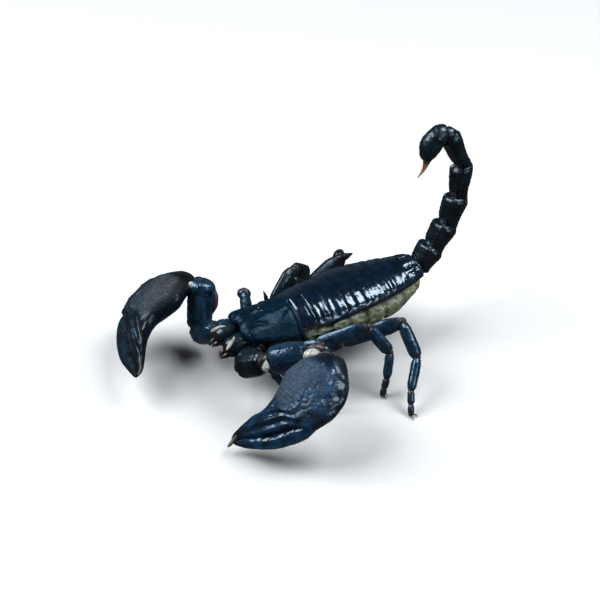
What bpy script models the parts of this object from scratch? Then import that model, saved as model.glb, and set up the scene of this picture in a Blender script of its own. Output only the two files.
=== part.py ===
"""A dry forest scorpion, standing with its claws spread and its tail raised.

Frame: +Z up, the head points to -Y and the tail to +Y, so the animal's left is +X.
The origin is the middle of the specimen's box, on the surface that its feet stand on.
All sizes below are in millimetres. The pose tables are measured from the middle of the back,
and BOX_MIDDLE moves the finished specimen to the middle of its box.
"""

import math

import bmesh
import bpy
from mathutils import Vector

MM = 0.001
BOX_MIDDLE = Vector((3.51, -5.24, 0.0))

# Body: driving sizes along the back.
CARAPACE_FRONT_Y = -26.0
CARAPACE_REAR_Y = -11.2
TERGITE_LENGTHS = (3.2, 3.9, 4.7, 5.1, 5.9, 6.2, 7.3)
PLATE_THICKNESS = 0.9
PLATE_GAP = 0.32
SKIN_GAP = 0.5
SHINGLE_RISE = 0.3

# Back: station y, half width of the plates, height of the crown, height of the plates' side edge,
# and how boxy the arch between them is (2 is an ellipse, less is more like a roof).
BACK = (
    (-26.0, 6.2, 18.9, 16.4, 2.3),
    (-21.0, 6.9, 19.7, 15.2, 1.9),
    (-16.0, 7.5, 20.1, 14.3, 1.7),
    (-11.2, 8.2, 20.3, 14.0, 1.7),
    (-8.0, 8.7, 20.4, 14.8, 1.85),
    (-2.0, 9.0, 20.6, 15.7, 2.0),
    (6.0, 9.0, 20.7, 16.6, 2.1),
    (14.0, 7.9, 20.5, 16.8, 2.1),
    (20.0, 6.5, 20.3, 16.9, 2.0),
    (26.0, 4.3, 19.8, 17.0, 2.0),
)

# Soft body under the plates: station y, half width of the swollen flank, its height, height of the underside.
FLANK = (
    (-10.8, 7.6, 13.0, 10.4),
    (-8.0, 8.6, 13.4, 10.4),
    (-2.0, 9.6, 13.7, 10.4),
    (6.0, 9.9, 13.9, 10.4),
    (12.0, 9.4, 14.0, 10.4),
    (16.0, 8.7, 14.1, 10.8),
    (20.0, 7.0, 14.6, 11.8),
    (23.5, 5.4, 15.2, 13.0),
    (25.0, 3.8, 15.8, 13.8),
)

# Leg bases and breast under the carapace: station y, half width, height of the underside.
BREAST = (
    (-24.2, 3.4, 12.2),
    (-22.0, 4.6, 11.0),
    (-17.0, 6.6, 10.4),
    (-12.0, 7.2, 10.4),
)

# Belly plates: the edges between them, and how thick they are.
STERNITE_EDGES = (-7.6, -1.6, 4.8, 11.4, 17.6, 24.2)
STERNITE_THICKNESS = 0.9

# Tail: joints in the plane of symmetry (y, z), and each segment's half width and half height.
TAIL_JOINTS = ((26.6, 17.4), (30.7, 21.9), (34.7, 27.5), (37.6, 34.8), (38.7, 43.6), (34.4, 53.6))
TAIL_HALF_SIZES = ((3.5, 3.3), (3.3, 3.15), (3.1, 3.0), (2.8, 2.75), (2.5, 2.5))
TELSON_SPINE = ((33.6, 54.6), (31.4, 54.4), (29.2, 52.4), (28.2, 49.8), (28.0, 48.0), (27.2, 45.9), (25.6, 43.9))
TELSON_RADII = (0.9, 2.3, 2.75, 2.1, 1.0, 0.55, 0.15)

# Arms: the joints from the trunk outwards, where the hand's own frame starts and its tip,
# and which way the back of the hand faces.
LEFT_ARM = {
    "hip": (5.0, -23.2, 12.4), "shoulder": (7.8, -28.4, 11.4), "elbow": (14.2, -25.3, 15.9),
    "wrist": (20.0, -15.2, 18.8), "palm": (24.4, -13.1, 20.4), "tip": (24.3, -39.5, 1.9),
    "back_of_hand": (0.20, -0.56, 0.80),
}
RIGHT_ARM = {
    "hip": (-5.0, -23.2, 12.4), "shoulder": (-7.6, -27.5, 11.3), "elbow": (-16.2, -28.5, 6.2),
    "wrist": (-19.6, -25.3, 17.6), "palm": (-23.3, -25.1, 17.1), "tip": (-7.2, -51.4, 8.4),
    "back_of_hand": (-0.30, -0.46, 0.84),
}

# Hand in its own frame: distance from the wrist towards the tip, inner edge, outer edge, half thickness,
# and how far the middle is arched towards the back of the hand.
HAND = (
    (-1.2, 2.0, 4.6, 1.7, 0.1),
    (0.2, 0.0, 6.8, 2.7, 0.8),
    (3.0, -1.9, 11.0, 3.6, 1.8),
    (6.4, -2.9, 13.4, 4.1, 2.6),
    (10.0, -3.1, 14.2, 4.3, 3.1),
    (13.4, -1.7, 13.2, 4.0, 3.2),
    (16.0, -0.3, 11.0, 3.4, 3.2),
    (17.3, 0.2, 8.7, 3.0, 3.1),
    (19.2, 0.4, 7.7, 2.6, 2.9),
    (22.0, -0.1, 5.8, 2.2, 2.5),
    (25.2, -1.2, 3.2, 1.7, 1.9),
    (28.6, -2.1, 0.5, 1.1, 1.1),
    (31.0, -2.4, -1.5, 0.35, 0.4),
)
MOVABLE_FINGER = (
    (16.3, 11.7, 12.5, 0.8, 2.9),
    (17.3, 10.1, 12.7, 1.9, 3.0),
    (19.2, 8.5, 12.3, 2.3, 2.8),
    (22.2, 6.5, 10.7, 2.0, 2.3),
    (25.6, 3.9, 8.1, 1.7, 1.7),
    (29.0, 1.2, 4.8, 1.25, 1.0),
    (31.4, -0.7, 1.8, 0.7, 0.4),
    (32.6, -1.6, -0.9, 0.25, 0.1),
)

# Legs, front to rear: hip, knee, ankle joint above the shin, joint above the foot, toe.
LEFT_LEGS = (
    ((7.0, -19.8, 11.0), (11.6, -22.4, 10.4), (16.0, -20.0, 7.0), (18.4, -18.4, 3.6), (20.2, -17.6, 0.0)),
    ((7.6, -16.0, 11.0), (14.4, -10.0, 15.2), (18.8, -8.6, 9.0), (20.6, -9.8, 4.4), (22.0, -11.6, 0.0)),
    ((8.6, -12.2, 11.2), (16.4, 1.8, 17.5), (21.3, 5.2, 11.8), (22.6, 3.6, 5.2), (22.8, 2.2, 0.0)),
    ((9.4, -6.4, 9.9), (17.6, 10.8, 16.5), (24.9, 10.8, 10.3), (29.3, 6.4, 5.0), (32.9, 4.3, 0.0)),
)
RIGHT_LEGS = (
    ((-7.0, -19.8, 11.0), (-13.2, -16.8, 16.6), (-15.4, -14.6, 9.0), (-16.2, -14.0, 4.4), (-17.6, -13.6, 0.0)),
    ((-7.6, -16.2, 11.0), (-13.4, -10.8, 9.4), (-17.8, -9.8, 6.0), (-19.8, -9.4, 3.2), (-22.0, -9.0, 0.0)),
    ((-8.8, -12.4, 11.2), (-13.4, -2.6, 18.0), (-17.6, 3.6, 12.0), (-20.6, 3.4, 5.4), (-23.2, 2.4, 0.0)),
    ((-9.4, -6.4, 9.9), (-14.4, 11.4, 17.4), (-19.6, 14.8, 12.0), (-23.8, 13.6, 5.4), (-28.2, 11.8, 0.0)),
)
LEG_HALF_WIDTHS = (1.45, 1.65, 1.80, 1.95)
SOLE_HALF_SIZE = 0.45

TAIL_GAP = 0.55

BACK_SIDES = 12
LIMB_SIDES = 10
TAIL_SIDES = 12


def interpolate(table, x):
    """The row of a station table at x, straight between its stations; the first column is x."""
    if x <= table[0][0]:
        return table[0][1:]
    for low, high in zip(table, table[1:]):
        if x <= high[0]:
            share = (x - low[0]) / (high[0] - low[0])
            return tuple(a + (b - a) * share for a, b in zip(low[1:], high[1:]))
    return table[-1][1:]


def material(name, colour, roughness):
    """A plain cuticle material."""
    made = bpy.data.materials.new(name)
    made.use_nodes = True
    shader = made.node_tree.nodes["Principled BSDF"]
    shader.inputs["Base Color"].default_value = (*colour, 1.0)
    shader.inputs["Roughness"].default_value = roughness
    shader.inputs["Metallic"].default_value = 0.0
    return made


def loft(name, rings, finish):
    """One closed solid through rings of equally many points in millimetres, capped at both ends."""
    mesh = bmesh.new()
    rows = [[mesh.verts.new((Vector(p) - BOX_MIDDLE) * MM) for p in ring] for ring in rings]
    for low, high in zip(rows, rows[1:]):
        for i in range(len(low)):
            j = (i + 1) % len(low)
            mesh.faces.new((low[i], low[j], high[j], high[i]))
    mesh.faces.new(rows[0][::-1])
    mesh.faces.new(rows[-1])
    bmesh.ops.recalc_face_normals(mesh, faces=mesh.faces)
    data = bpy.data.meshes.new(name)
    mesh.to_mesh(data)
    mesh.free()
    data.shade_smooth()
    data.set_sharp_from_angle(angle=math.radians(35))
    data.materials.append(finish)
    made = bpy.data.objects.new(name, data)
    bpy.context.scene.collection.objects.link(made)
    return made


def oval(centre, side, up, half_width, half_height, sides=LIMB_SIDES):
    """A ring of points round an oval."""
    turn = [2 * math.pi * (i + 0.5) / sides for i in range(sides)]
    return [centre + side * (half_width * math.cos(a)) + up * (half_height * math.sin(a)) for a in turn]


def across(along, towards):
    """The side and up directions of a piece that runs along one way with its back towards another."""
    side = along.cross(towards).normalized()
    return side, side.cross(along).normalized()


def limb(name, start, end, trims, towards, shape, finish, sides=LIMB_SIDES):
    """A limb segment between two joints, trimmed back from each; shape lists (share, half width, half height)."""
    start, end = Vector(start), Vector(end)
    along = (end - start).normalized()
    side, up = across(along, Vector(towards))
    first, last = start + along * trims[0], end - along * trims[1]
    rings = [oval(first.lerp(last, t), side, up, w, h, sides) for t, w, h in shape]
    return loft(name, rings, finish)


def back_arc(y, shrink, lift=0.0, sides=BACK_SIDES):
    """Points over the back from the right edge to the left, in the plane at y."""
    half_width, crown, edge, boxy = interpolate(BACK, y)
    points = []
    for i in range(sides + 1):
        a = math.pi * i / sides
        x = -(half_width - shrink) * math.copysign(abs(math.cos(a)) ** (2 / boxy), math.cos(a))
        z = edge + (crown - shrink - edge) * math.sin(a) ** (2 / boxy) + lift
        points.append(Vector((x, y, z)))
    return points


def stations_within(table):
    """Every station of a table, and those of the back that lie between them."""
    first, last = table[0][0], table[-1][0]
    return sorted({row[0] for row in table} | {row[0] for row in BACK if first < row[0] < last})


def plate(name, front, rear, finish, steps=2):
    """A curved back plate from front to rear, a little higher at its rear edge."""
    rings = []
    for i in range(steps + 1):
        share = i / steps
        y = front + (rear - front) * share
        lift = SHINGLE_RISE * share
        outer = back_arc(y, 0.0, lift)
        inner = back_arc(y, PLATE_THICKNESS, lift)
        rings.append(outer + inner[::-1])
    return loft(name, rings, finish)


def trunk(name, finish):
    """The soft abdomen, under the back plates and above the belly plates."""
    rings = []
    for y in stations_within(FLANK):
        wide, middle, under = interpolate(FLANK, y)
        edge = interpolate(BACK, y)[2]
        ring = back_arc(y, PLATE_THICKNESS + SKIN_GAP)
        top = min(edge - PLATE_GAP, middle + 1.2)
        belly = under + STERNITE_THICKNESS + PLATE_GAP
        for x, z in ((0.97 * wide, top), (wide, middle), (0.9 * wide, belly)):
            ring.append(Vector((x, y, z)))
        for x, z in ((-0.9 * wide, belly), (-wide, middle), (-0.97 * wide, top)):
            ring.append(Vector((x, y, z)))
        rings.append(ring)
    return loft(name, rings, finish)


def breast(name, finish):
    """The block of leg bases under the carapace, flat below."""
    rings = []
    for y in stations_within(BREAST):
        wide, under = interpolate(BREAST, y)
        edge = interpolate(BACK, y)[2]
        ring = back_arc(y, PLATE_THICKNESS + SKIN_GAP)
        middle = (edge + under) / 2
        for x, z in ((wide, edge - 0.6), (wide, middle), (0.75 * wide, under)):
            ring.append(Vector((x, y, z)))
        for x, z in ((-0.75 * wide, under), (-wide, middle), (-wide, edge - 0.6)):
            ring.append(Vector((x, y, z)))
        rings.append(ring)
    return loft(name, rings, finish)


def sternite(name, front, rear, finish):
    """A flat belly plate with turned-up sides."""
    rings = []
    for y in (front, (front + rear) / 2, rear):
        wide, middle, under = interpolate(FLANK, y)
        lip, top = under + 0.6, under + STERNITE_THICKNESS
        half = [(0.84 * wide, top), (0.88 * wide, lip), (0.72 * wide, under)]
        rings.append([Vector((x, y, z)) for x, z in half + [(-x, z) for x, z in half[::-1]]])
    return loft(name, rings, finish)


def comb(side, sign, finish):
    """One of the two sensory combs behind the last legs, on the underside."""
    start, end = Vector((sign * 1.2, -10.0, 10.0)), Vector((sign * 7.6, -7.9, 8.9))
    limb(f"{side}_comb", start, end, (0, 0), (0, 0, 1), ((0.0, 0.9, 0.35), (0.5, 1.3, 0.4), (1.0, 0.5, 0.3)), finish)


def hand_frame(arm):
    """Start of the palm, and the hand's length, outward and back directions."""
    palm, tip = Vector(arm["palm"]), Vector(arm["tip"])
    along = (tip - palm).normalized()
    out, back = across(along, Vector(arm["back_of_hand"]))
    if palm.x < 0:
        out = -out
    return palm, along, -out, back


def claw_part(name, arm, table, finish, sides=LIMB_SIDES + 2):
    """The hand with its fixed finger, or the movable finger, from a table in the hand's frame."""
    palm, along, out, back = hand_frame(arm)
    rings = []
    for distance, inner, outer, thick, arch in table:
        centre = palm + along * distance + out * ((inner + outer) / 2) + back * arch
        rings.append(oval(centre, out, back, (outer - inner) / 2, thick, sides))
    return loft(name, rings, finish)


def arm(side, joints, finish):
    """Trochanter, femur, patella, hand and movable finger of one pedipalp."""
    hip, shoulder, elbow, wrist = (Vector(joints[k]) for k in ("hip", "shoulder", "elbow", "wrist"))
    up = (0.1, 0.0, 1.0)
    limb(f"{side}_arm_trochanter", hip, shoulder, (1.2, 1.9), up,
         ((0.0, 1.5, 1.6), (0.3, 2.2, 2.3), (0.7, 2.2, 2.3), (1.0, 1.5, 1.6)), finish)
    limb(f"{side}_arm_femur", shoulder, elbow, (2.2, 2.2), up,
         ((0.0, 1.5, 1.6), (0.2, 2.3, 2.3), (0.6, 2.7, 2.6), (0.86, 2.7, 2.6), (1.0, 1.8, 1.8)), finish)
    limb(f"{side}_arm_patella", elbow, wrist, (2.6, 0.5), joints["back_of_hand"],
         ((0.0, 1.6, 1.7), (0.16, 2.6, 2.6), (0.4, 3.0, 3.0), (0.85, 2.7, 2.8), (1.0, 1.8, 2.0)), finish)
    claw_part(f"{side}_hand", joints, HAND, finish)
    claw_part(f"{side}_movable_finger", joints, MOVABLE_FINGER, finish, LIMB_SIDES)


def leg(side, number, joints, finish):
    """Femur, patella and foot of one walking leg; the foot ends in a small flat sole."""
    hip, knee, shin, ankle, toe = (Vector(p) for p in joints)
    wide = LEG_HALF_WIDTHS[number - 1]
    up = (0.0, 0.0, 1.0)
    limb(f"{side}_leg_{number}_femur", hip, knee, (1.4, 1.3), up,
         ((0.0, 0.55 * wide, 0.65 * wide), (0.2, 0.7 * wide, 0.95 * wide),
          (0.75, 0.75 * wide, 1.1 * wide), (1.0, 0.5 * wide, 0.65 * wide)), finish)
    limb(f"{side}_leg_{number}_patella", knee, shin, (1.4, 0.6), up,
         ((0.0, 0.45 * wide, 0.55 * wide), (0.2, 0.72 * wide, 0.9 * wide),
          (0.8, 0.75 * wide, 0.92 * wide), (1.0, 0.5 * wide, 0.6 * wide)), finish)
    rings = []
    for centre, along, size in (
        (shin.lerp(ankle, 0.12), ankle - shin, 0.5), (shin.lerp(ankle, 0.35), ankle - shin, 0.66),
        (ankle, toe - shin, 0.5), (ankle.lerp(toe, 0.4), toe - ankle, 0.42),
    ):
        across_leg, over_leg = across(along.normalized(), Vector(up))
        rings.append(oval(centre, across_leg, over_leg, size * wide, size * wide * 1.1))
    across_leg, over_leg = across((toe - ankle).normalized(), Vector(up))
    outwards = across_leg.cross(Vector((0, 0, -1)))
    rings.append(oval(toe, across_leg, outwards, SOLE_HALF_SIZE, SOLE_HALF_SIZE))
    loft(f"{side}_leg_{number}_foot", rings, finish)


def tail(finish):
    """Five ringed segments, each narrower at its joints."""
    for i, (low, high) in enumerate(zip(TAIL_JOINTS, TAIL_JOINTS[1:])):
        wide, tall = TAIL_HALF_SIZES[i]
        start, end = Vector((0, *low)), Vector((0, *high))
        limb(f"tail_segment_{i + 1}", start, end, (TAIL_GAP, TAIL_GAP), (0, -1, 1),
             ((0.0, 0.62 * wide, 0.6 * tall), (0.14, 0.9 * wide, 0.88 * tall), (0.5, 1.0 * wide, 0.96 * tall),
              (0.86, 1.0 * wide, 1.05 * tall), (1.0, 0.7 * wide, 0.7 * tall)), finish, TAIL_SIDES)


def telson(finish):
    """The venom bulb, drawn out into the curved sting."""
    points = [Vector((0, *p)) for p in TELSON_SPINE]
    rings = []
    for i, (centre, radius) in enumerate(zip(points, TELSON_RADII)):
        along = points[min(i + 1, len(points) - 1)] - points[max(i - 1, 0)]
        side, up = across(along.normalized(), Vector((0.0, -1.0, 0.3)))
        rings.append(oval(centre, side, up, radius, radius))
    return loft("telson", rings, finish)


def chelicera(side, sign, finish):
    """One of the two short jaws under the front edge of the carapace."""
    limb(f"{side}_chelicera", (sign * 2.4, -25.0, 15.3), (sign * 2.6, -32.2, 13.6), (0, 0), (0, 0, 1),
         ((0.0, 1.4, 1.4), (0.18, 1.9, 1.9), (0.35, 2.2, 2.3), (0.65, 2.15, 2.2), (0.88, 1.4, 1.5), (1.0, 0.5, 0.6)),
         finish)


def main():
    for old in list(bpy.data.objects):
        bpy.data.objects.remove(old)
    shell = material("blue_black_cuticle", (0.012, 0.028, 0.045), 0.25)
    skin = material("pleural_skin", (0.16, 0.17, 0.11), 0.6)
    limb_shell = material("limb_cuticle", (0.014, 0.022, 0.032), 0.3)
    sting_shell = material("tail_cuticle", (0.010, 0.012, 0.014), 0.3)

    plate("carapace", CARAPACE_FRONT_Y, CARAPACE_REAR_Y, shell, steps=5)
    breast("breast", limb_shell)
    y = CARAPACE_REAR_Y
    for i, length in enumerate(TERGITE_LENGTHS):
        plate(f"tergite_{i + 1}", y + PLATE_GAP, y + length, shell)
        y += length
    trunk("trunk", skin)
    for i, (front, rear) in enumerate(zip(STERNITE_EDGES, STERNITE_EDGES[1:])):
        sternite(f"sternite_{i + 1}", front, rear - PLATE_GAP, shell)
    for sign, side in ((1, "left"), (-1, "right")):
        chelicera(side, sign, limb_shell)
        comb(side, sign, skin)
    arm("left", LEFT_ARM, limb_shell)
    arm("right", RIGHT_ARM, limb_shell)
    for side, legs in (("left", LEFT_LEGS), ("right", RIGHT_LEGS)):
        for number, joints in enumerate(legs, start=1):
            leg(side, number, joints, limb_shell)
    tail(sting_shell)
    telson(sting_shell)


main()
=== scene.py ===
"""A dry forest scorpion on its feet, with its claws spread and its tail raised.

All shapes are worked out in millimetres in the pose's own coordinates: the head points to -Y, the tail
to +Y, and the animal's left is +X. Each skin is a grid of points that is modelled like the real plate or
limb, with its keels, grains and folds, and is then moved to the frame and turned to metres.
"""
import math

import bpy
import numpy as np
from mathutils import Matrix, Vector


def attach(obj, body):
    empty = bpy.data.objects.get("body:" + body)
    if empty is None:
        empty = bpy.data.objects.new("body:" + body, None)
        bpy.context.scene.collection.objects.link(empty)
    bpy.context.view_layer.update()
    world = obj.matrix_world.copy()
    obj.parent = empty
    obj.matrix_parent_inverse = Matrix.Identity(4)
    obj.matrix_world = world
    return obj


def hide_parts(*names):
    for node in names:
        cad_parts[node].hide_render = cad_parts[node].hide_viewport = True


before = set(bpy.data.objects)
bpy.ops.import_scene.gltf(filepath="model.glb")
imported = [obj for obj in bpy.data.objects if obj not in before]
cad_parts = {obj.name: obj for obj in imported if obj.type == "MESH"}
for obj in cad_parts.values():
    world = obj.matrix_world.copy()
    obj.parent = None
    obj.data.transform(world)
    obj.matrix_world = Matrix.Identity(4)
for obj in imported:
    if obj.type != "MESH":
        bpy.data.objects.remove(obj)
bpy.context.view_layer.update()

MM = 0.001
BOX_MIDDLE = np.array([3.51, -5.24, 0.0])

# The pose, in millimetres, as in the solids of the frame. In ARMS, hook, reach, bulge and spread say how far
# the fingertips bend inwards and reach on, and how much fuller the palm and the movable finger are.

BACK = (  # y, half width, crown height, side edge height, boxiness of the arch
    (-26.0, 6.2, 18.9, 16.4, 2.3), (-21.0, 6.9, 19.7, 15.2, 1.9), (-16.0, 7.5, 20.1, 14.3, 1.7),
    (-11.2, 8.2, 20.3, 14.0, 1.7), (-8.0, 8.7, 20.4, 14.8, 1.85), (-2.0, 9.0, 20.6, 15.7, 2.0),
    (6.0, 9.0, 20.7, 16.6, 2.1), (14.0, 7.9, 20.5, 16.8, 2.1), (20.0, 6.5, 20.3, 16.9, 2.0),
    (26.0, 4.3, 19.8, 17.0, 2.0),
)
FLANK = (  # y, half width of the soft flank, its height, underside
    (-10.8, 7.9, 13.5, 10.4), (-8.0, 9.2, 14.2, 10.4), (-2.0, 9.8, 14.2, 10.4), (6.0, 9.9, 13.9, 10.4),
    (12.0, 9.4, 14.0, 10.4), (16.0, 8.7, 14.1, 10.8), (20.0, 7.0, 14.6, 11.8), (23.5, 5.4, 15.2, 13.0),
    (25.0, 3.8, 15.8, 13.8),
)
BREAST = ((-24.2, 3.4, 12.2), (-22.0, 4.6, 11.0), (-17.0, 6.6, 10.4), (-12.0, 7.2, 10.4))
CARAPACE_FRONT, CARAPACE_REAR = -26.0, -11.2
TERGITE_LENGTHS = (3.2, 3.9, 4.7, 5.1, 5.9, 6.2, 7.3)
STERNITE_EDGES = (-7.6, -1.6, 4.8, 11.4, 17.6, 24.2)
TAIL_JOINTS = ((26.6, 17.4), (30.7, 21.9), (34.7, 27.5), (37.6, 34.8), (38.7, 43.6), (34.4, 53.6))
TAIL_HALF_SIZES = ((3.5, 3.3), (3.3, 3.15), (3.1, 3.0), (2.8, 2.75), (2.5, 2.5))
TAIL_SWELLING = (  # share along a segment, then its half width and half height as shares of the fullest
    (0.0, 0.80, 0.76), (0.16, 0.86, 0.80), (0.5, 0.96, 0.95), (0.74, 1.02, 1.04), (0.88, 0.99, 1.00),
    (1.0, 0.90, 0.90),
)
TELSON_SPINE = (
    (33.6, 54.6), (31.4, 54.4), (29.2, 52.4), (28.2, 49.8), (28.0, 48.0), (27.2, 45.9), (25.6, 43.9),
)
TELSON_RADII = (1.9, 2.5, 2.75, 2.1, 1.0, 0.5, 0.12)
ARMS = {
    "left": {
        "hip": (5.0, -23.2, 12.4), "shoulder": (7.8, -28.4, 11.4), "elbow": (14.2, -25.3, 15.9),
        "wrist": (20.0, -15.2, 18.8), "palm": (24.4, -13.1, 20.4), "tip": (24.3, -39.5, 1.9),
        "back_of_hand": (0.20, -0.56, 0.80), "hook": 0.0, "reach": -1.5, "bulge": 0.0, "spread": 0.0,
    },
    "right": {
        "hip": (-5.0, -23.2, 12.4), "shoulder": (-7.6, -27.5, 11.3), "elbow": (-16.2, -28.5, 6.2),
        "wrist": (-19.6, -25.3, 17.6), "palm": (-23.3, -25.1, 17.1), "tip": (-7.2, -51.4, 8.4),
        "back_of_hand": (-0.30, -0.46, 0.84), "hook": 2.6, "reach": 1.2, "bulge": 1.5, "spread": 1.3,
    },
}
HAND = (  # distance from the wrist, inner edge, outer edge, half thickness, arch
    (-1.2, 2.0, 4.6, 1.7, 0.1), (0.2, 0.0, 6.8, 2.7, 0.8), (3.0, -1.9, 11.2, 3.6, 1.8),
    (6.4, -2.9, 13.5, 4.1, 2.6), (10.0, -3.1, 14.3, 4.3, 3.1), (13.4, -1.7, 13.6, 4.0, 3.2),
    (15.6, -0.7, 12.9, 3.5, 3.2), (17.2, -0.2, 10.2, 3.0, 3.1), (19.2, 0.0, 8.3, 2.7, 2.9),
    (22.0, -0.5, 6.3, 2.3, 2.5), (25.2, -1.6, 3.8, 1.8, 1.9), (28.6, -2.5, 1.1, 1.2, 1.1),
    (31.2, -2.9, -0.9, 0.55, 0.5), (32.7, -2.3, -1.3, 0.25, 0.3),
)
MOVABLE_FINGER = (
    (12.6, 10.2, 12.0, 1.2, 2.3), (14.6, 9.8, 12.9, 1.9, 2.4), (17.3, 9.2, 12.7, 1.9, 2.2),
    (19.2, 7.8, 11.9, 1.8, 1.9), (22.2, 5.8, 10.1, 1.6, 1.5), (25.6, 3.2, 7.6, 1.4, 1.1),
    (29.0, 0.6, 4.5, 1.1, 0.7), (31.4, -1.0, 1.7, 0.7, 0.3), (32.8, -1.9, -0.8, 0.28, 0.1),
)
LEGS = {  # front to rear: hip, knee, shin joint, ankle, toe
    "left": (
        ((7.0, -19.8, 11.0), (11.6, -22.4, 10.4), (16.0, -20.0, 7.0), (18.4, -18.4, 3.6), (20.2, -17.6, 0.0)),
        ((7.6, -16.0, 11.0), (14.4, -10.0, 15.2), (18.8, -8.6, 9.0), (20.6, -9.8, 4.4), (22.0, -11.6, 0.0)),
        ((8.6, -12.2, 11.2), (16.4, 1.8, 17.5), (21.3, 5.2, 11.8), (22.6, 3.6, 5.2), (22.8, 2.2, 0.0)),
        ((9.4, -6.4, 9.9), (17.6, 10.8, 16.5), (24.9, 10.8, 10.3), (29.3, 6.4, 5.0), (32.9, 4.3, 0.0)),
    ),
    "right": (
        ((-7.0, -19.8, 11.0), (-13.2, -16.8, 16.6), (-15.4, -14.6, 9.0), (-16.2, -14.0, 4.4),
         (-17.6, -13.6, 0.0)),
        ((-7.6, -16.2, 11.0), (-13.4, -10.8, 9.4), (-17.8, -9.8, 6.0), (-19.8, -9.4, 3.2),
         (-22.0, -9.0, 0.0)),
        ((-8.8, -12.4, 11.2), (-13.4, -2.6, 18.0), (-17.6, 3.6, 12.0), (-20.6, 3.4, 5.4), (-23.2, 2.4, 0.0)),
        ((-9.4, -6.4, 9.9), (-14.4, 11.4, 17.4), (-19.6, 14.8, 12.0), (-23.8, 13.6, 5.4), (-28.2, 11.8, 0.0)),
    ),
}
LEFT_TIP_HOOK = (
    (22.6, -37.0, 4.9), (22.7, -38.0, 4.2), (22.7, -38.9, 3.5), (22.8, -39.8, 2.7), (22.8, -40.5, 2.3),
)
LEG_HALF_WIDTHS = (1.45, 1.65, 1.80, 1.95)
LEG_SEGMENTS = (  # from hip to toe: share along it, half sizes in leg half widths; then its keels
    (((0, 0.75, 0.85), (0.5, 0.85, 0.98), (1, 0.62, 0.8)), ()),
    (((0, 0.62, 0.78), (0.15, 0.72, 0.98), (0.75, 0.77, 1.12), (1, 0.55, 0.75)),
     ((90, 14, 0.16), (35, 12, 0.10), (-60, 14, 0.14))),
    (((0, 0.5, 0.62), (0.2, 0.74, 0.92), (0.8, 0.77, 0.95), (1, 0.55, 0.65)),
     ((70, 14, 0.14), (-40, 14, 0.12))),
    (((0, 0.45, 0.52), (0.2, 0.62, 0.7), (0.8, 0.6, 0.66), (1, 0.42, 0.5)), ((80, 16, 0.08),)),
    (((0, 0.36, 0.42), (0.3, 0.46, 0.52), (0.8, 0.46, 0.52), (1, 0.34, 0.4)), ()),
    (((0, 0.32, 0.38), (0.4, 0.42, 0.48), (1, 0.3, 0.34)), ()),
)
STOUT_LEGS = {("right", 3): 1.3, ("right", 4): 1.3}  # held tight against the body, with their thighs swollen
LOWEST_HAIR = 0.02
SIDES = {"left": 1, "right": -1}


# Working out points: everything here takes and gives arrays of millimetres.


def vec(p):
    return np.array(p, float)


def unit(v):
    return v / np.maximum(np.linalg.norm(v, axis=-1, keepdims=True), 1e-9)


def ease(x, low, high):
    """0 below low, 1 above high, and a soft rise between them."""
    t = np.clip((x - low) / (high - low), 0, 1)
    return t * t * (3 - 2 * t)


def hump(x, centre, width):
    """1 at the centre, and soft on both sides."""
    return np.exp(-(((x - centre) / width) ** 2))


def fair(table, x):
    """The columns of a station table at the places x, on a fair curve that keeps within its stations."""
    table = np.array(table, float)
    xs, ys = table[:, 0], table[:, 1:]
    gap = np.diff(xs)[:, None]
    slope = np.diff(ys, axis=0) / gap
    both = slope[:-1] * slope[1:]
    rising = both > 0
    inside = np.where(rising, 2 * both / np.where(rising, slope[:-1] + slope[1:], 1), 0)
    lean = np.vstack([slope[:1], inside, slope[-1:]])
    x = np.clip(x, xs[0], xs[-1])
    i = np.clip(np.searchsorted(xs, x, side="right") - 1, 0, len(xs) - 2)
    t = ((x - xs[i]) / gap[i, 0])[..., None]
    a, b, g = ys[i], ys[i + 1], gap[i]
    return ((2 * t**3 - 3 * t**2 + 1) * a + (t**3 - 2 * t**2 + t) * g * lean[i]
            + (3 * t**2 - 2 * t**3) * b + (t**3 - t**2) * g * lean[i + 1])


def bent(points, count):
    """A smooth bend through a few points, as count evenly spaced ones."""
    points = vec(points)
    reach = reach_along(points)
    padded = np.vstack([2 * points[0] - points[1], points, 2 * points[-1] - points[-2]])
    t = np.linspace(0, reach[-1], count)
    i = np.clip(np.searchsorted(reach, t, side="right") - 1, 0, len(points) - 2)
    u = ((t - reach[i]) / (reach[i + 1] - reach[i]))[:, None]
    p0, p1, p2, p3 = (padded[i + k] for k in range(4))
    return 0.5 * (2 * p1 + (p2 - p0) * u + (2 * p0 - 5 * p1 + 4 * p2 - p3) * u**2
                  + (3 * p1 - p0 - 3 * p2 + p3) * u**3)


def band(x, low, high, end_low, end_high):
    """A soft rise from low to high, and a soft fall from end_low to end_high."""
    return ease(x, low, high) * (1 - ease(x, end_low, end_high))


def reach_along(points):
    """How far each point lies along the line through them."""
    return np.concatenate([[0], np.cumsum(np.linalg.norm(np.diff(points, axis=0), axis=1))])


def chance(cells, salt):
    """A steady number from 0 to 1 for each whole-numbered cell."""
    c = cells.astype(np.int64)
    h = (c[..., 0] * 73856093) ^ (c[..., 1] * 19349663) ^ (c[..., 2] * 83492791) ^ (salt * 2654435761)
    h = ((h ^ (h >> 15)) * 2246822519) & 0xFFFFFFFF
    h = ((h ^ (h >> 13)) * 3266489917) & 0xFFFFFFFF
    return (h ^ (h >> 16)) % 65536 / 65535.0


def swell(points, size, salt=0):
    """Soft unevenness of the cuticle, about size mm from dip to dip, from -1 to 1."""
    scaled = points / size + 100.5
    low = np.floor(scaled)
    part = scaled - low
    part = part * part * (3 - 2 * part)
    total = 0
    for corner in np.ndindex(2, 2, 2):
        share = np.prod(np.where(corner, part, 1 - part), axis=-1)
        total = total + share * chance(low + corner, salt)
    return 2 * total - 1


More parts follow.
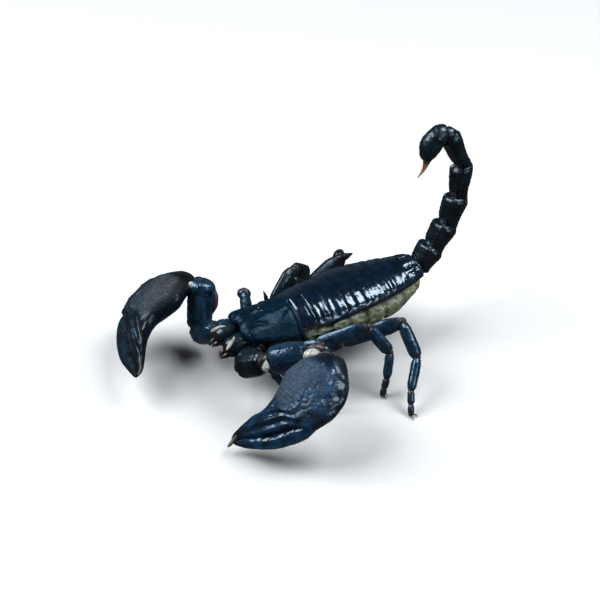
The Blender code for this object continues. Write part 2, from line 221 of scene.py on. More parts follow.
def grains(points, spacing, salt=0, breadth=0.62):
    """Round grains that stand spacing mm apart on the cuticle: 1 on top of a grain, 0 between them."""
    scaled = points / spacing + 100.5
    home = np.floor(scaled)
    nearest = np.full(points.shape[:-1], 9.0)
    for step in np.ndindex(3, 3, 3):
        cell = home + np.array(step) - 1
        centre = cell + 0.5 + 0.6 * (np.stack([chance(cell, salt + k) for k in (1, 2, 3)], axis=-1) - 0.5)
        nearest = np.minimum(nearest, np.linalg.norm(scaled - centre, axis=-1))
    return np.clip(1 - (nearest / breadth) ** 2, 0, 1)


def outward(grid):
    """Unit normals of a grid of closed rings, away from its middle line."""
    along = np.gradient(grid, axis=0)
    around = np.roll(grid, -1, axis=1) - np.roll(grid, 1, axis=1)
    normal = unit(np.cross(along, around))
    away = grid - grid.mean(axis=1, keepdims=True)
    return normal if (normal * away).sum() > 0 else -normal


def raised(grid, height):
    """The rings with their surface moved outwards by height mm."""
    return grid + outward(grid) * np.broadcast_to(height, grid.shape[:2])[..., None]


def places(length, step, first, last):
    """Stations from 0 to length, closer together where the two ends are rounded off."""
    quarter = np.linspace(0, math.pi / 2, 7)
    head = first * (1 - np.cos(quarter))
    tail = length - last * (1 - np.cos(quarter[::-1]))
    middle = np.linspace(first, length - last, max(int((length - first - last) / step), 2) + 1)
    return np.concatenate([head, middle[1:-1], tail])


def girth(s, length, first, last):
    """The share of its girth that a segment keeps where its ends are rounded off over first and last mm."""
    low, high = np.clip(s / first, 0, 1), np.clip((length - s) / last, 0, 1)
    return np.sqrt(np.maximum(1 - (1 - low) ** 2, 0)) * np.sqrt(np.maximum(1 - (1 - high) ** 2, 0))


def round_turn(count):
    """Turns round a limb, in one row."""
    return np.linspace(0, 2 * math.pi, count, endpoint=False)[None]


def beside(along, reference):
    """The two directions square to along: to its side, and up on the reference's side."""
    side = unit(np.cross(along, vec(reference)))
    return side, np.cross(side, along)


def swept(middle, side, up, wide, tall, turn):
    """Rings round a middle line, each wide mm to its side and tall mm up."""
    side, up = (np.broadcast_to(way, middle.shape)[:, None] for way in (side, up))
    return (middle[:, None] + side * (wide[:, None] * np.cos(turn))[..., None]
            + up * (tall[:, None] * np.sin(turn))[..., None])


def oval(centre, ways, radii, rows, count, cap=0.05, pleat=0.0):
    """Rings of an oval body with its pole along the first way. Pleat is how deep its rings are folded."""
    tilt = np.linspace(cap, math.pi - cap, rows)[:, None]
    turn = round_turn(count)
    folded = np.sin(tilt) * (1 + pleat * np.cos(tilt * 11))
    parts = (np.cos(tilt) + 0 * turn, folded * np.cos(turn), folded * np.sin(turn))
    return vec(centre) + sum(vec(way) * (part * radius)[..., None]
                             for way, part, radius in zip(ways, parts, radii))


class Skins:
    """Closed skins that make up one piece, gathered before they become one mesh.

    Each point carries two painted marks: brown is how far the cuticle turns to its thin reddish brown, and on
    some skins how far it is darkened as painted shade; dull is how far its wax is rubbed off or its surface
    is grained, and its grey bloom in the colour is partly a painted sheen.
    """

    def __init__(self):
        self.points, self.faces, self.brown, self.dull = [], [], [], []
        self.count = 0

    def keep(self, points, faces, brown, dull):
        """Stores one closed skin with its faces turned outwards."""
        a, b, c = (points[[f[k] for f in faces]] for k in range(3))
        d = points[[f[-1] for f in faces]]
        middle = points.mean(axis=0)
        halves = ((a, b, c), (a, c, d))
        volume = sum((np.cross(p - middle, q - middle) * (r - middle)).sum() for p, q, r in halves)
        if volume < 0:
            faces = [f[::-1] for f in faces]
        self.faces += [[i + self.count for i in f] for f in faces]
        self.points.append(points)
        self.brown.append(brown)
        self.dull.append(dull)
        self.count += len(points)

    def rings(self, grid, brown=0.0, dull=0.0):
        """A skin of closed rings, with a point at the middle of each end."""
        n, m = grid.shape[:2]
        index = np.arange(n * m).reshape(n, m)
        turned = np.roll(index, -1, axis=1)
        quads = np.stack([index[:-1], turned[:-1], turned[1:], index[1:]], axis=-1).reshape(-1, 4).tolist()
        start, end = n * m, n * m + 1
        quads += [[start, b, a] for a, b in zip(index[0].tolist(), turned[0].tolist())]
        quads += [[a, b, end] for a, b in zip(index[-1].tolist(), turned[-1].tolist())]
        points = np.vstack([grid.reshape(-1, 3), grid[0].mean(axis=0), grid[-1].mean(axis=0)])
        marks = []
        for mark in (brown, dull):
            mark = np.broadcast_to(mark, (n, m)).astype(float)
            marks.append(np.concatenate([mark.ravel(), [mark[0].mean(), mark[-1].mean()]]))
        self.keep(points, quads, *marks)

    def sheet(self, outer, inner, brown=0.0, dull=0.0):
        """A plate between an outer and an inner grid of the same size, closed along its four edges."""
        n, m = outer.shape[:2]
        top = np.arange(n * m).reshape(n, m)
        low = top + n * m
        walls = [np.stack([top[:-1, :-1], top[:-1, 1:], top[1:, 1:], top[1:, :-1]], axis=-1),
                 np.stack([low[:-1, :-1], low[1:, :-1], low[1:, 1:], low[:-1, 1:]], axis=-1)]
        quads = np.concatenate([wall.reshape(-1, 4) for wall in walls]).tolist()
        rim = np.concatenate([top[0, :-1], top[:-1, -1], top[-1, :0:-1], top[:0:-1, 0]])
        quads += [[b, a, a + n * m, b + n * m] for a, b in zip(rim.tolist(), np.roll(rim, -1).tolist())]
        marks = [np.tile(np.broadcast_to(mark, (n, m)).astype(float).ravel(), 2) for mark in (brown, dull)]
        self.keep(np.vstack([outer.reshape(-1, 3), inner.reshape(-1, 3)]), quads, *marks)

    def cast(self, name, finish, slot, *nodes):
        """The skins as one piece that rides on the specimen and stands for the named solids."""
        mesh = bpy.data.meshes.new(name)
        points = (np.vstack(self.points) - BOX_MIDDLE) * MM
        mesh.from_pydata(points.tolist(), [], self.faces)
        for label, values in (("brown", self.brown), ("dull", self.dull)):
            layer = mesh.attributes.new(label, "FLOAT", "POINT")
            layer.data.foreach_set("value", np.concatenate(values).astype(np.float32))
        mesh.shade_smooth()
        mesh.materials.append(finish)
        piece = bpy.data.objects.new(name, mesh)
        bpy.context.scene.collection.objects.link(piece)
        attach(piece, "root")
        if nodes:
            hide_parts(*nodes)
        return piece


# Finishes.


def paint(hex_colour):
    """A colour given as sRGB hex, turned to linear."""
    parts = [int(hex_colour[i:i + 2], 16) / 255 for i in (0, 2, 4)]
    return (*[c / 12.92 if c <= 0.04045 else ((c + 0.055) / 1.055) ** 2.4 for c in parts], 1.0)


def per_mm(size):
    """The scale that draws a pattern size mm wide in object coordinates, which are in metres."""
    return 1.0 / (size * MM)


def add(tree, kind, settings=None, links=None):
    """Adds a node of that kind with its settings, and links each named socket to another node's output."""
    made = tree.nodes.new(kind)
    for key, value in (settings or {}).items():
        if isinstance(key, str) and hasattr(made, key) and key not in made.inputs:
            setattr(made, key, value)
        else:
            made.inputs[key].default_value = value
    for key, source in (links or {}).items():
        tree.links.new(source, made.inputs[key])
    return made


def start_finish(name):
    """An empty material with its surface shader, and the object's own coordinates."""
    made = bpy.data.materials.new(name)
    made.use_nodes = True
    tree = made.node_tree
    tree.nodes.clear()
    shader = add(tree, "ShaderNodeBsdfPrincipled")
    add(tree, "ShaderNodeOutputMaterial", {}, {"Surface": shader.outputs[0]})
    where = add(tree, "ShaderNodeTexCoord").outputs["Object"]
    return made, tree, shader, where


def hardened_cuticle(name, deep, sheen_colour, thin, worn_and_sheen_colour, smooth_rough, dull_rough, patch=2.6,
                     pit=0.42, pit_depth=0.035, tint="C6DDF2", coat=0.5, gloss=0.8):
    """Hardened, tanned chitin under a film of wax.

    The eye sees a nearly black, deep surface with a cold sheen, sharp and bright window-like highlights that
    break up on fine pits, a thin reddish brown where the cuticle tapers off, and a dull grey bloom on the
    grains.
    The brown mark also carries painted shade on some skins, and the bloom's grey is partly the grains' worn
    colour and partly a painted sheen.
    The wax film is the coat; it is gone where the dull mark is 0.5 or more.
    """
    made, tree, shader, where = start_finish(name)
    cloud = add(tree, "ShaderNodeTexNoise", {"Scale": per_mm(patch), "Detail": 3.0, "Roughness": 0.55},
                {"Vector": where})
    body = add(tree, "ShaderNodeMix", {"data_type": "RGBA", 6: paint(deep), 7: paint(sheen_colour)})
    spread = add(tree, "ShaderNodeMapRange", {"From Min": 0.35, "From Max": 0.68},
                 {"Value": cloud.outputs["Fac"]})
    tree.links.new(spread.outputs[0], body.inputs[0])

    dull = add(tree, "ShaderNodeAttribute", {"attribute_name": "dull"}).outputs["Fac"]
    speck = add(tree, "ShaderNodeTexVoronoi", {"Scale": per_mm(0.55), "Randomness": 0.9}, {"Vector": where})
    speckle = add(tree, "ShaderNodeMapRange",
                  {"From Min": 0.15, "From Max": 0.62, "To Min": 1.0, "To Max": 0.35},
                  {"Value": speck.outputs["Distance"]})
    # The dull mark mixes a grey bloom into the colour: partly the grains' worn colour, partly a painted
    # sheen.
    strong = add(tree, "ShaderNodeMath", {"operation": "POWER", 1: 1.7}, {0: dull})
    bloom = add(tree, "ShaderNodeMath", {"operation": "MULTIPLY"},
                {0: strong.outputs[0], 1: speckle.outputs[0]})
    worn_and_sheened = add(tree, "ShaderNodeMix", {"data_type": "RGBA", 7: paint(worn_and_sheen_colour)},
                  {0: bloom.outputs[0], 6: body.outputs[2]})

    # The brown mark turns the colour to the thin colour: thin cuticle, and on some skins painted shade.
    brown = add(tree, "ShaderNodeAttribute", {"attribute_name": "brown"}).outputs["Fac"]
    browned_and_shaded = add(tree, "ShaderNodeMix", {"data_type": "RGBA", 7: paint(thin)},
                  {0: brown, 6: worn_and_sheened.outputs[2]})
    tree.links.new(browned_and_shaded.outputs[2], shader.inputs["Base Color"])

    smear = add(tree, "ShaderNodeTexNoise", {"Scale": per_mm(0.9), "Detail": 2.0}, {"Vector": where})
    polish = add(tree, "ShaderNodeMapRange", {"To Min": smooth_rough - 0.06, "To Max": smooth_rough + 0.06},
                 {"Value": smear.outputs["Fac"]})
    unwaxed = add(tree, "ShaderNodeMath", {"operation": "MULTIPLY", 1: 2.0, "use_clamp": True}, {0: dull})
    rough = add(tree, "ShaderNodeMix", {"data_type": "FLOAT", 3: dull_rough},
                {0: unwaxed.outputs[0], 2: polish.outputs[0]})
    tree.links.new(rough.outputs[0], shader.inputs["Roughness"])

    # Real pits are about 0.1 mm wide; they are drawn at 0.4 mm, the finest that shows in the picture.
    pits = add(tree, "ShaderNodeTexVoronoi", {"Scale": per_mm(pit), "Randomness": 1.0}, {"Vector": where})
    pitted = add(tree, "ShaderNodeMapRange", {"From Min": 0.0, "From Max": 0.45},
                 {"Value": pits.outputs["Distance"]})
    waves = add(tree, "ShaderNodeTexNoise", {"Scale": per_mm(1.3), "Detail": 3.0}, {"Vector": where})
    relief = add(tree, "ShaderNodeMath", {"operation": "MULTIPLY_ADD", 1: 2.2},
                 {0: waves.outputs["Fac"], 2: pitted.outputs[0]})
    bump = add(tree, "ShaderNodeBump", {"Strength": 1.0, "Distance": pit_depth * MM},
               {"Height": relief.outputs[0]})
    tree.links.new(bump.outputs[0], shader.inputs["Normal"])
    shader.inputs["IOR"].default_value = 1.56
    shader.inputs["Specular IOR Level"].default_value = gloss
    shader.inputs["Specular Tint"].default_value = paint(tint)
    waxed = add(tree, "ShaderNodeMath", {"operation": "SUBTRACT", 0: 1.0}, {1: unwaxed.outputs[0]})
    film = add(tree, "ShaderNodeMath", {"operation": "MULTIPLY", 1: coat}, {0: waxed.outputs[0]})
    tree.links.new(film.outputs[0], shader.inputs["Coat Weight"])
    shader.inputs["Coat Roughness"].default_value = 0.12
    shader.inputs["Coat IOR"].default_value = 1.45
    return made


def soft_membrane(name, base, fold, stain, rough, patch, translucent, crease=0.35, depth=0.05):
    """Unhardened, leathery skin between the plates, dried to fine creases.

    The eye sees a pale, dull, slightly waxy surface with dirty stains; the darker lines in its creases are
    painted shade.
    """
    made, tree, shader, where = start_finish(name)
    cloud = add(tree, "ShaderNodeTexNoise", {"Scale": per_mm(patch), "Detail": 4.0, "Roughness": 0.6},
                {"Vector": where})
    spread = add(tree, "ShaderNodeMapRange", {"From Min": 0.38, "From Max": 0.66},
                 {"Value": cloud.outputs["Fac"]})
    stained = add(tree, "ShaderNodeMix", {"data_type": "RGBA", 6: paint(base), 7: paint(stain)},
                  {0: spread.outputs[0]})
    lines = add(tree, "ShaderNodeTexNoise", {"Scale": per_mm(crease), "Detail": 2.0, "Distortion": 0.8},
                {"Vector": where})
    deep = add(tree, "ShaderNodeMapRange", {"From Min": 0.58, "From Max": 0.40},
               {"Value": lines.outputs["Fac"]})
    # The fold colour darkens the creases: painted shade in the creases.
    creased = add(tree, "ShaderNodeMix", {"data_type": "RGBA", 7: paint(fold)},
                  {0: deep.outputs[0], 6: stained.outputs[2]})
    # The brown mark darkens the skin towards near black; on the flank skin this is painted shade.
    brown = add(tree, "ShaderNodeAttribute", {"attribute_name": "brown"}).outputs["Fac"]
    shaded = add(tree, "ShaderNodeMix", {"data_type": "RGBA", 7: paint("1A1714")},
                 {0: brown, 6: creased.outputs[2]})
    tree.links.new(shaded.outputs[2], shader.inputs["Base Color"])
    bump = add(tree, "ShaderNodeBump", {"Strength": 1.0, "Distance": depth * MM},
               {"Height": lines.outputs["Fac"]})
    tree.links.new(bump.outputs[0], shader.inputs["Normal"])
    shader.inputs["Roughness"].default_value = rough
    shader.inputs["IOR"].default_value = 1.48
    shader.inputs["Subsurface Weight"].default_value = translucent
    shader.inputs["Subsurface Radius"].default_value = (0.0012, 0.0008, 0.0005)
    shader.inputs["Subsurface Scale"].default_value = 1.0
    return made


FINISH = {
    # Back plates: the blackest and most polished cuticle, with a navy sheen.
    "back": hardened_cuticle("waxed_back_cuticle", "020B14", "07192B", "0C0D0F", "203444", 0.17, 0.36,
                             pit_depth=0.014, coat=0.6, gloss=0.9),
    # Head shield: the same cuticle, fine-grained and barely waxed, with a greener cast.
    "head": hardened_cuticle("grained_head_cuticle", "020E17", "061F2E", "140F0E", "102C3C", 0.30, 0.42,
                             patch=2.0, pit_depth=0.02, tint="8ABCE8", coat=0.03, gloss=0.16),
    # Arms and legs: waxed tubes of cuticle, navy, thin and brown towards their joints.
    "limb": hardened_cuticle("waxed_limb_cuticle", "08151F", "153348", "33211C", "30485A", 0.20, 0.36,
                             patch=1.8, pit_depth=0.02, tint="ACD0F2", coat=0.5, gloss=0.7),
    # Left hand: coarse grains rubbed dull, with a grey bloom painted into their colour, partly their worn
    # colour and partly a painted sheen; black heel and finger tips.
    "left hand": hardened_cuticle("grained_hand_cuticle", "06141F", "0D3350", "090D13", "56585B", 0.24, 0.62,
                                  patch=3.0, pit=0.5, pit_depth=0.03, tint="A4CAF4", coat=0.9, gloss=0.35),
    # Right hand: the same grained cuticle in darker colours, painted shade for the far hand, with a browner
    # bloom over black that is partly a painted sheen.
    "right hand": hardened_cuticle("shaded_far_hand_cuticle", "050C12", "0A2233", "0B0909", "565350", 0.30, 0.62,
                                   patch=2.2, pit=0.5, pit_depth=0.03, coat=0.24, gloss=0.22),
    # Tip of the left hand: horn worn down to its pale straw core.
    "worn horn": hardened_cuticle("worn_straw_horn", "4A4636", "6E6850", "100E0C", "4A4636", 0.4, 0.5,
                                  patch=0.6, tint="FFF8E8", coat=0.1),
    # Tail and jaws: nearly black, oily, with reddish brown keels. On the left arm's root and the two stout
    # legs the same black cuticle is painted shade.
    "tail": hardened_cuticle("keeled_tail_cuticle", "03080B", "071A22", "2E120E", "16242A", 0.28, 0.44,
                             patch=2.2, pit_depth=0.024, coat=0.22, gloss=0.5),
    # Belly plates: thinner cuticle that stays brownish black.
    "belly": hardened_cuticle("thin_belly_cuticle", "16140F", "2B2A24", "6A4A2E", "3A3A36", 0.26, 0.45,
                              patch=4.0),
    # Claws and spurs of the feet: solid horn-like chitin, dark brown.
    "horn": hardened_cuticle("brown_horn_cuticle", "20130E", "3C261A", "140B08", "4A3626", 0.28, 0.45,
                             patch=0.8, tint="FFF4E4", coat=0.3),
    # Sting: clear amber horn over a dark root.
    "sting": hardened_cuticle("amber_sting_horn", "7A5236", "A87C56", "20120C", "8A6244", 0.28, 0.45,
                              patch=0.8, tint="FFF4E4", coat=0.3, gloss=0.6),
    # Hairs: stiff brown bristles.
    "bristle": hardened_cuticle("brown_bristle", "1C130E", "33221A", "140C08", "5A4030", 0.35, 0.5, patch=1.0,
                                tint="FFF4E4", coat=0.1),
    # Flank skin: dried yellow-grey leather in folds.
    "flank": soft_membrane("folded_flank_skin", "85876A", "444A36", "5A604A", 0.45, 2.2, 0.08, 0.8, 0.16),
    # Socket skin: the same membrane, dried dark and reddish brown.
    "socket": soft_membrane("dark_socket_skin", "1C1312", "0C0808", "28191A", 0.42, 1.2, 0.0, 0.30, 0.04),
    # Folded joint skin: the same membrane, where it is gathered thick and dried pinkish brown.
    "fold": soft_membrane("gathered_joint_skin", "5E5058", "2A2024", "48363E", 0.40, 1.0, 0.10, 0.30, 0.05),
    # Joint skin: paper-thin cream membrane.
    "joint": soft_membrane("pale_joint_skin", "D6DAD2", "84837E", "6A4E4C", 0.42, 1.4, 0.15, 0.30, 0.04),
    # Combs: thin tan cuticle.
    "comb": soft_membrane("tan_comb_cuticle", "A08560", "5C452C", "8A6C48", 0.42, 1.2, 0.10, 0.30, 0.02),
}
EYE = hardened_cuticle("clear_eye_lens", "050505", "0A0C10", "0A0808", "0A0C10", 0.12, 0.2, coat=0.3)


# Back plates.


def over_back(y, turn, shrink=0.0):
    """Points over the back for each station y and each turn from its right edge to its left."""
    half_width, crown, edge, boxy = (column[:, None] for column in fair(BACK, y).T)
    c, s = np.cos(turn)[None], np.maximum(np.sin(turn), 0)[None]
    x = -(half_width - shrink) * np.sign(c) * np.abs(c) ** (2 / boxy)
    z = edge + (crown - shrink - edge) * s ** (2 / boxy)
    return np.stack([x, np.broadcast_to(y[:, None], x.shape), z], axis=-1)


def plate_normals(grid):
    normal = unit(np.cross(np.gradient(grid, axis=1), np.gradient(grid, axis=0)))
    return normal if normal[..., 2].sum() > 0 else -normal


def edge_round(grid, radius):
    """How far the surface falls near the plate's four edges, for an edge of that radius."""
    step_y = np.linalg.norm(np.diff(grid, axis=0), axis=2)
    step_x = np.linalg.norm(np.diff(grid, axis=1), axis=2)
    from_front = np.vstack([np.zeros((1, grid.shape[1])), np.cumsum(step_y, axis=0)])
    from_right = np.hstack([np.zeros((grid.shape[0], 1)), np.cumsum(step_x, axis=1)])
    nearest = np.minimum(np.minimum(from_front, from_front[-1:] - from_front),
                         np.minimum(from_right, from_right[:, -1:] - from_right))
    t = np.clip(nearest / radius, 0, 1)
    return radius * (1 - np.sqrt(1 - (1 - t) ** 2)), nearest


def back_turns(count):
    """Turns over the arch, closer together at its edges."""
    even = np.linspace(0, 1, count)
    return math.pi * (even - 0.035 * np.sin(2 * math.pi * even))


def carapace():
    """The head shield: a furrow down its middle, a mound with two eyes, side eyes, and grains."""
    front_drop = 1.3
    y = np.concatenate([CARAPACE_FRONT + 0.5 * (1 - np.cos(np.linspace(0, math.pi / 2, 6))),
                        np.linspace(CARAPACE_FRONT + 0.5, CARAPACE_REAR - 0.4, 76)[1:-1],
                        CARAPACE_REAR - 0.4 + 0.5 * np.sin(np.linspace(0, math.pi / 2, 6))])
    grid = over_back(y, back_turns(154))
    half = fair(BACK, y)[:, 0][:, None]
    share = (y - CARAPACE_FRONT)[:, None] / (CARAPACE_REAR - CARAPACE_FRONT)
    across = grid[..., 0] / half
    # The front edge is notched in the middle and its corners are rounded; the rear edge is straight.
    slide = (0.8 * hump(grid[..., 0], 0, 1.5) + 1.2 * np.abs(across) ** 5) * (1 - share) ** 3
    grid[..., 1] += slide
    x, yy = grid[..., 0], grid[..., 1]
    ax = np.abs(x)
    relief = -0.42 * hump(x, 0, 0.9) * ease(yy, -25.6, -23.5)
    relief += 0.16 * hump(ax, 2.1, 0.8) * ease(yy, -25.5, -22.0)
    relief += 0.75 * hump(x, 0, 1.25) * hump(yy, -19.2, 1.5)
    relief -= 0.09 * hump(yy, CARAPACE_REAR - 1.3, 0.4) * (1 - 0.6 * hump(ax, 0, 1.5))
    bow = 2.2 + 3.6 * ((yy + 12.0) / -5.0) ** 2
    relief -= 0.22 * hump(ax, bow, 0.55) * band(yy, -17.6, -16.4, -13.0, -12.0)
    relief -= 0.25 * hump(ax, 3.4 + 0.25 * (yy + 22), 0.7) * (1 - ease(yy, -20.5, -18.8))
    relief += 0.06 * swell(grid, 3.0, 3) + 0.03 * swell(grid * (1.4, 0.6, 1.4), 0.9, 4)
    relief += 0.035 * grains(grid, 0.75, 5) * ease(np.abs(across), 0.35, 0.7)
    relief += 0.012 * grains(grid, 0.6, 8)
    fall, nearest = edge_round(grid, 0.4)
    normal = plate_normals(grid)
    outer = grid + normal * (relief * ease(nearest, 0.0, 0.8) - fall)[..., None]
    inner = grid - normal * (0.25 + 0.65 * ease(nearest, 0.0, 0.9))[..., None]
    for face in (outer, inner):
        face[..., 2] -= front_drop * (1 - ease(share, -0.08, 0.12))
    rim = 0.6 * (1 - ease(nearest, 0.1, 0.6)) * ease(share, 0.05, 0.2)
    dull = 0.35 * ease(np.abs(across), 0.5, 0.95)
    shield = Skins()
    shield.sheet(outer, inner, brown=rim, dull=dull)
    shield.cast("carapace_shield", FINISH["head"], "blue_black_cuticle", "carapace")


def bead(skins, centre, radius):
    """A small round lens."""
    upright = ((0, 0, 1), (1, 0, 0), (0, 1, 0))
    skins.rings(oval(centre, upright, (radius, radius, radius), 15, 24, cap=0.02))


def eyes():
    """Two middle eyes on the mound, and three small ones at each front corner."""
    lenses = Skins()
    for sign in (1, -1):
        bead(lenses, (sign * 0.72, -19.2, 20.05), 0.42)
        for k, (x, y, z) in enumerate(((5.05, -24.75, 17.55), (5.55, -24.1, 17.05), (5.85, -23.3, 16.75))):
            bead(lenses, (sign * x, y, z), 0.26 - 0.02 * k)
    lenses.cast("eye_lenses", EYE, "blue_black_cuticle")


def tergite(number, front, rear):
    """One back plate: its front is tucked under the plate before it, and its rear edge lies over the next."""
    tuck, lap = 0.75, 0.30
    length = rear - front
    y = np.concatenate([np.linspace(front - tuck, rear + lap - 0.3, int((length + tuck) / 0.17)),
                        rear + lap - 0.3 + 0.3 * np.sin(np.linspace(0, math.pi / 2, 6))[1:]])
    # The first two plates are short at their sides and leave the soft flank bare.
    bare = 0.42 * (1 - ease(y, -10.5, -2.5))[:, None]
    turns = bare + (1 - 2 * bare / math.pi) * back_turns(144)[None]
    grid = np.concatenate([over_back(y[k:k + 1], turns[k]) for k in range(len(y))])
    half = fair(BACK, y)[:, 0][:, None] * np.cos(bare) ** 1.05
    across = grid[..., 0] / half
    side = np.clip(np.abs(across), 0, 1)
    share = ((y - front) / length)[:, None]
    grid[..., 1] += 0.35 * ease(side, 0.55, 1.0) * (share - 0.5)
    lift = -0.26 * (1 - ease(share, -0.02, 0.20))
    lift = lift + 0.10 * ease(share, 0.35, 0.95)
    lift = lift + 0.30 * ease(y, 2.0, 24.0)[:, None] * (0.75 - side**2)
    # Low cross folds run from side to side, so that a highlight on the flank breaks into upright strokes.
    flank = ease(side, 0.25, 0.6)
    fold = hump(share, 0.30, 0.10) - hump(share, 0.48, 0.09) + hump(share, 0.68, 0.09)
    lift = lift + 0.055 * fold * flank
    ragged = 0.11 * swell(grid * (0.5, 1.25, 0.5), 1.25, number) + 0.03 * swell(grid, 0.8, 20 + number)
    relief = ragged * (0.15 + 0.85 * flank)
    relief = relief + 0.025 * grains(grid, 0.62, 40 + number) * (0.2 + 0.8 * ease(side, 0.55, 0.9))
    relief = relief + 0.10 * hump(grid[..., 0], 0, 0.5) * hump(share, 0.5, 0.3)
    if number == len(TERGITE_LENGTHS):
        # The last plate carries four short keels.
        for place in (0.26, 0.62):
            relief = relief + 0.26 * hump(side, place, 0.07) * band(share, 0.3, 0.5, 0.88, 0.98)
        relief = relief + 0.10 * grains(grid, 0.8, 50) * ease(share, 0.3, 0.6)
    fall, nearest = edge_round(grid, 0.28)
    normal = plate_normals(grid)
    rising = ease(side, 1.0, 0.9)
    outer = grid + normal * ((relief + lift) * rising - fall)[..., None]
    inner = grid + normal * (lift * rising - 0.22 - 0.55 * ease(nearest, 0.0, 0.8))[..., None]
    brown = 0.5 * ease(share, 0.97, 1.03) * np.ones_like(side) + 0.25 * ease(side, 0.95, 1.0)
    dull = 0.15 * ease(side, 0.8, 1.0) + 0 * share
    plate = Skins()
    plate.sheet(outer, inner, brown=np.clip(brown, 0, 1), dull=np.clip(dull, 0, 0.6))
    plate.cast(f"tergite_plate_{number}", FINISH["back"], "blue_black_cuticle", f"tergite_{number}")


def girdle(y_stations, table, lower, shrink, count):
    """Closed rings round the trunk: the arch of the back on top, and lower(y, wide, ...) for the rest."""
    rings = []
    for y in y_stations:
        row = fair(table, np.array([y]))[0]
        top = over_back(np.array([y]), np.linspace(0, math.pi, 40), shrink)[0]
        edge = fair(BACK, np.array([y]))[0][2]
        rest = [(x, y, z) for x, z in lower(row, edge)]
        outline = np.vstack([top, rest])
        closed = np.vstack([outline, outline[:1]])
        reach = reach_along(closed)
        even = np.linspace(0, reach[-1], count, endpoint=False)
        ring = np.stack([np.interp(even, reach, closed[:, k]) for k in range(3)], axis=-1)
        for _ in range(4):
            ring = (np.roll(ring, 2, axis=0) + 2 * ring + np.roll(ring, -2, axis=0)) / 4
        rings.append(ring)
    return np.array(rings)


def flank_skin():
    """The soft abdomen between back and belly plates: swollen, and creased lengthwise."""
    def lower(row, edge):
        wide, middle, under = row
        top, belly = min(edge - 0.32, middle + 1.2), under + 1.22
        left = [(0.99 * wide, top), (1.02 * wide, middle), (0.9 * wide, belly)]
        return left + [(0.3 * wide, belly), (-0.3 * wide, belly)] + [(-x, z) for x, z in left[::-1]]

    y = np.linspace(-10.8, 25.0, 180)
    grid = girdle(y, FLANK, lower, 1.15, 156)
    edge, wide = fair(BACK, y)[:, 2][:, None], fair(FLANK, y)[:, 0][:, None]
    flank = ease(np.abs(grid[..., 0]), 0.75 * wide, 0.95 * wide)
    flank = flank * (1 - ease(grid[..., 2], edge + 0.2, edge + 0.9))
    drawn = grid * (1.0, 0.42, 1.0)
    folds = 0.26 * (1 - 2.2 * np.abs(swell(drawn, 1.3, 60))) + 0.12 * (1 - 2 * np.abs(swell(drawn, 0.7, 61)))
    folds = folds + 0.05 * swell(grid, 0.4, 62)
    edges = CARAPACE_REAR + np.cumsum(TERGITE_LENGTHS)
    tucks = sum(hump(y, place, 0.55) for place in edges)[:, None]
    grid = raised(grid, flank * (folds - 0.45 * tucks))
    skin = Skins()
    # The brown mark darkens the skin where it tucks in at each plate's edge and where it runs on under the
    # back and belly plates: painted shade.
    skin.rings(grid, brown=np.clip(0.55 * flank * tucks + (1 - flank) * 0.8, 0, 0.9))
    skin.cast("flank_skin", FINISH["flank"], "pleural_skin", "trunk")


def belly_plates():
    """Five flat plates under the trunk; the first four have a breathing slit on each side."""
    for number, (front, rear) in enumerate(zip(STERNITE_EDGES, STERNITE_EDGES[1:]), start=1):
        y = np.linspace(front - 0.25, rear - 0.32, 28)
        wide, _, under = (column[:, None] for column in fair(FLANK, y).T)
        v = np.sin(np.linspace(-math.pi / 2, math.pi / 2, 80))[None]
        share = (y - front)[:, None] / (rear - front)
        x = 0.88 * wide * v
        z = under + 0.62 * ease(np.abs(v), 0.78, 1.0) + 0.35 * ease(share, 0.12, -0.04)
        grid = np.stack([x, np.broadcast_to(y[:, None], x.shape), np.broadcast_to(z, x.shape)], axis=-1)
        relief = 0.03 * swell(grid, 2.0, 70 + number) + 0.02 * grains(grid, 0.8, 75)
        relief = relief - 0.08 * hump(np.abs(x), 2.3, 0.35) * ease(share, 0.1, 0.3)
        brown = 0.5 * ease(share, 0.9, 1.0) + 0.3 * ease(np.abs(v), 0.9, 1.0)
        if number < 5:
            turn = math.radians(28)
            dx, dy = np.abs(x) - 0.56 * wide, grid[..., 1] - (front + 0.52 * (rear - front))
            p, q = dx * math.cos(turn) - dy * math.sin(turn), dx * math.sin(turn) + dy * math.cos(turn)
            slit = (p / 0.85) ** 2 + (q / 0.24) ** 2
            relief = relief - 0.38 * np.exp(-slit) + 0.10 * hump(slit, 2.6, 1.2)
            brown = brown + 0.6 * hump(slit, 2.4, 1.2)
        fall, nearest = edge_round(grid, 0.25)
        down = np.array([0.0, 0.0, -1.0])
        outer = grid + down * (relief * ease(nearest, 0.0, 0.5) - fall)[..., None]
        inner = grid - down * (0.3 + 0.55 * ease(nearest, 0.0, 0.6))[..., None]
        plate = Skins()
        plate.sheet(outer, inner, brown=np.clip(brown, 0, 1))
        plate.cast(f"belly_plate_{number}", FINISH["belly"], "blue_black_cuticle", f"sternite_{number}")


# Limbs.


def ridge(turn, at, width):
    """1 on a keel that runs along a limb at that turn, in degrees, and soft beside it."""
    apart = np.abs((turn - math.radians(at) + math.pi) % (2 * math.pi) - math.pi)
    return hump(apart, 0, math.radians(width))


def limb_grid(start, end, trims, towards, shape, ends, count, step):
    """Rings of a limb segment between two joints, with each point's share along it and turn round it."""
    start, end = vec(start), vec(end)
    along = unit(end - start)
    first, last = start + along * trims[0], end - along * trims[1]
    length = np.linalg.norm(last - first)
    s = places(length, step, *ends)
    turn = round_turn(count)
    wide, tall = (fair(shape, s / length) * girth(s, length, *ends)[:, None]).T
    grid = swept(first + along * s[:, None], *beside(along, towards), wide, tall, turn)
    return grid, (s / length)[:, None], turn


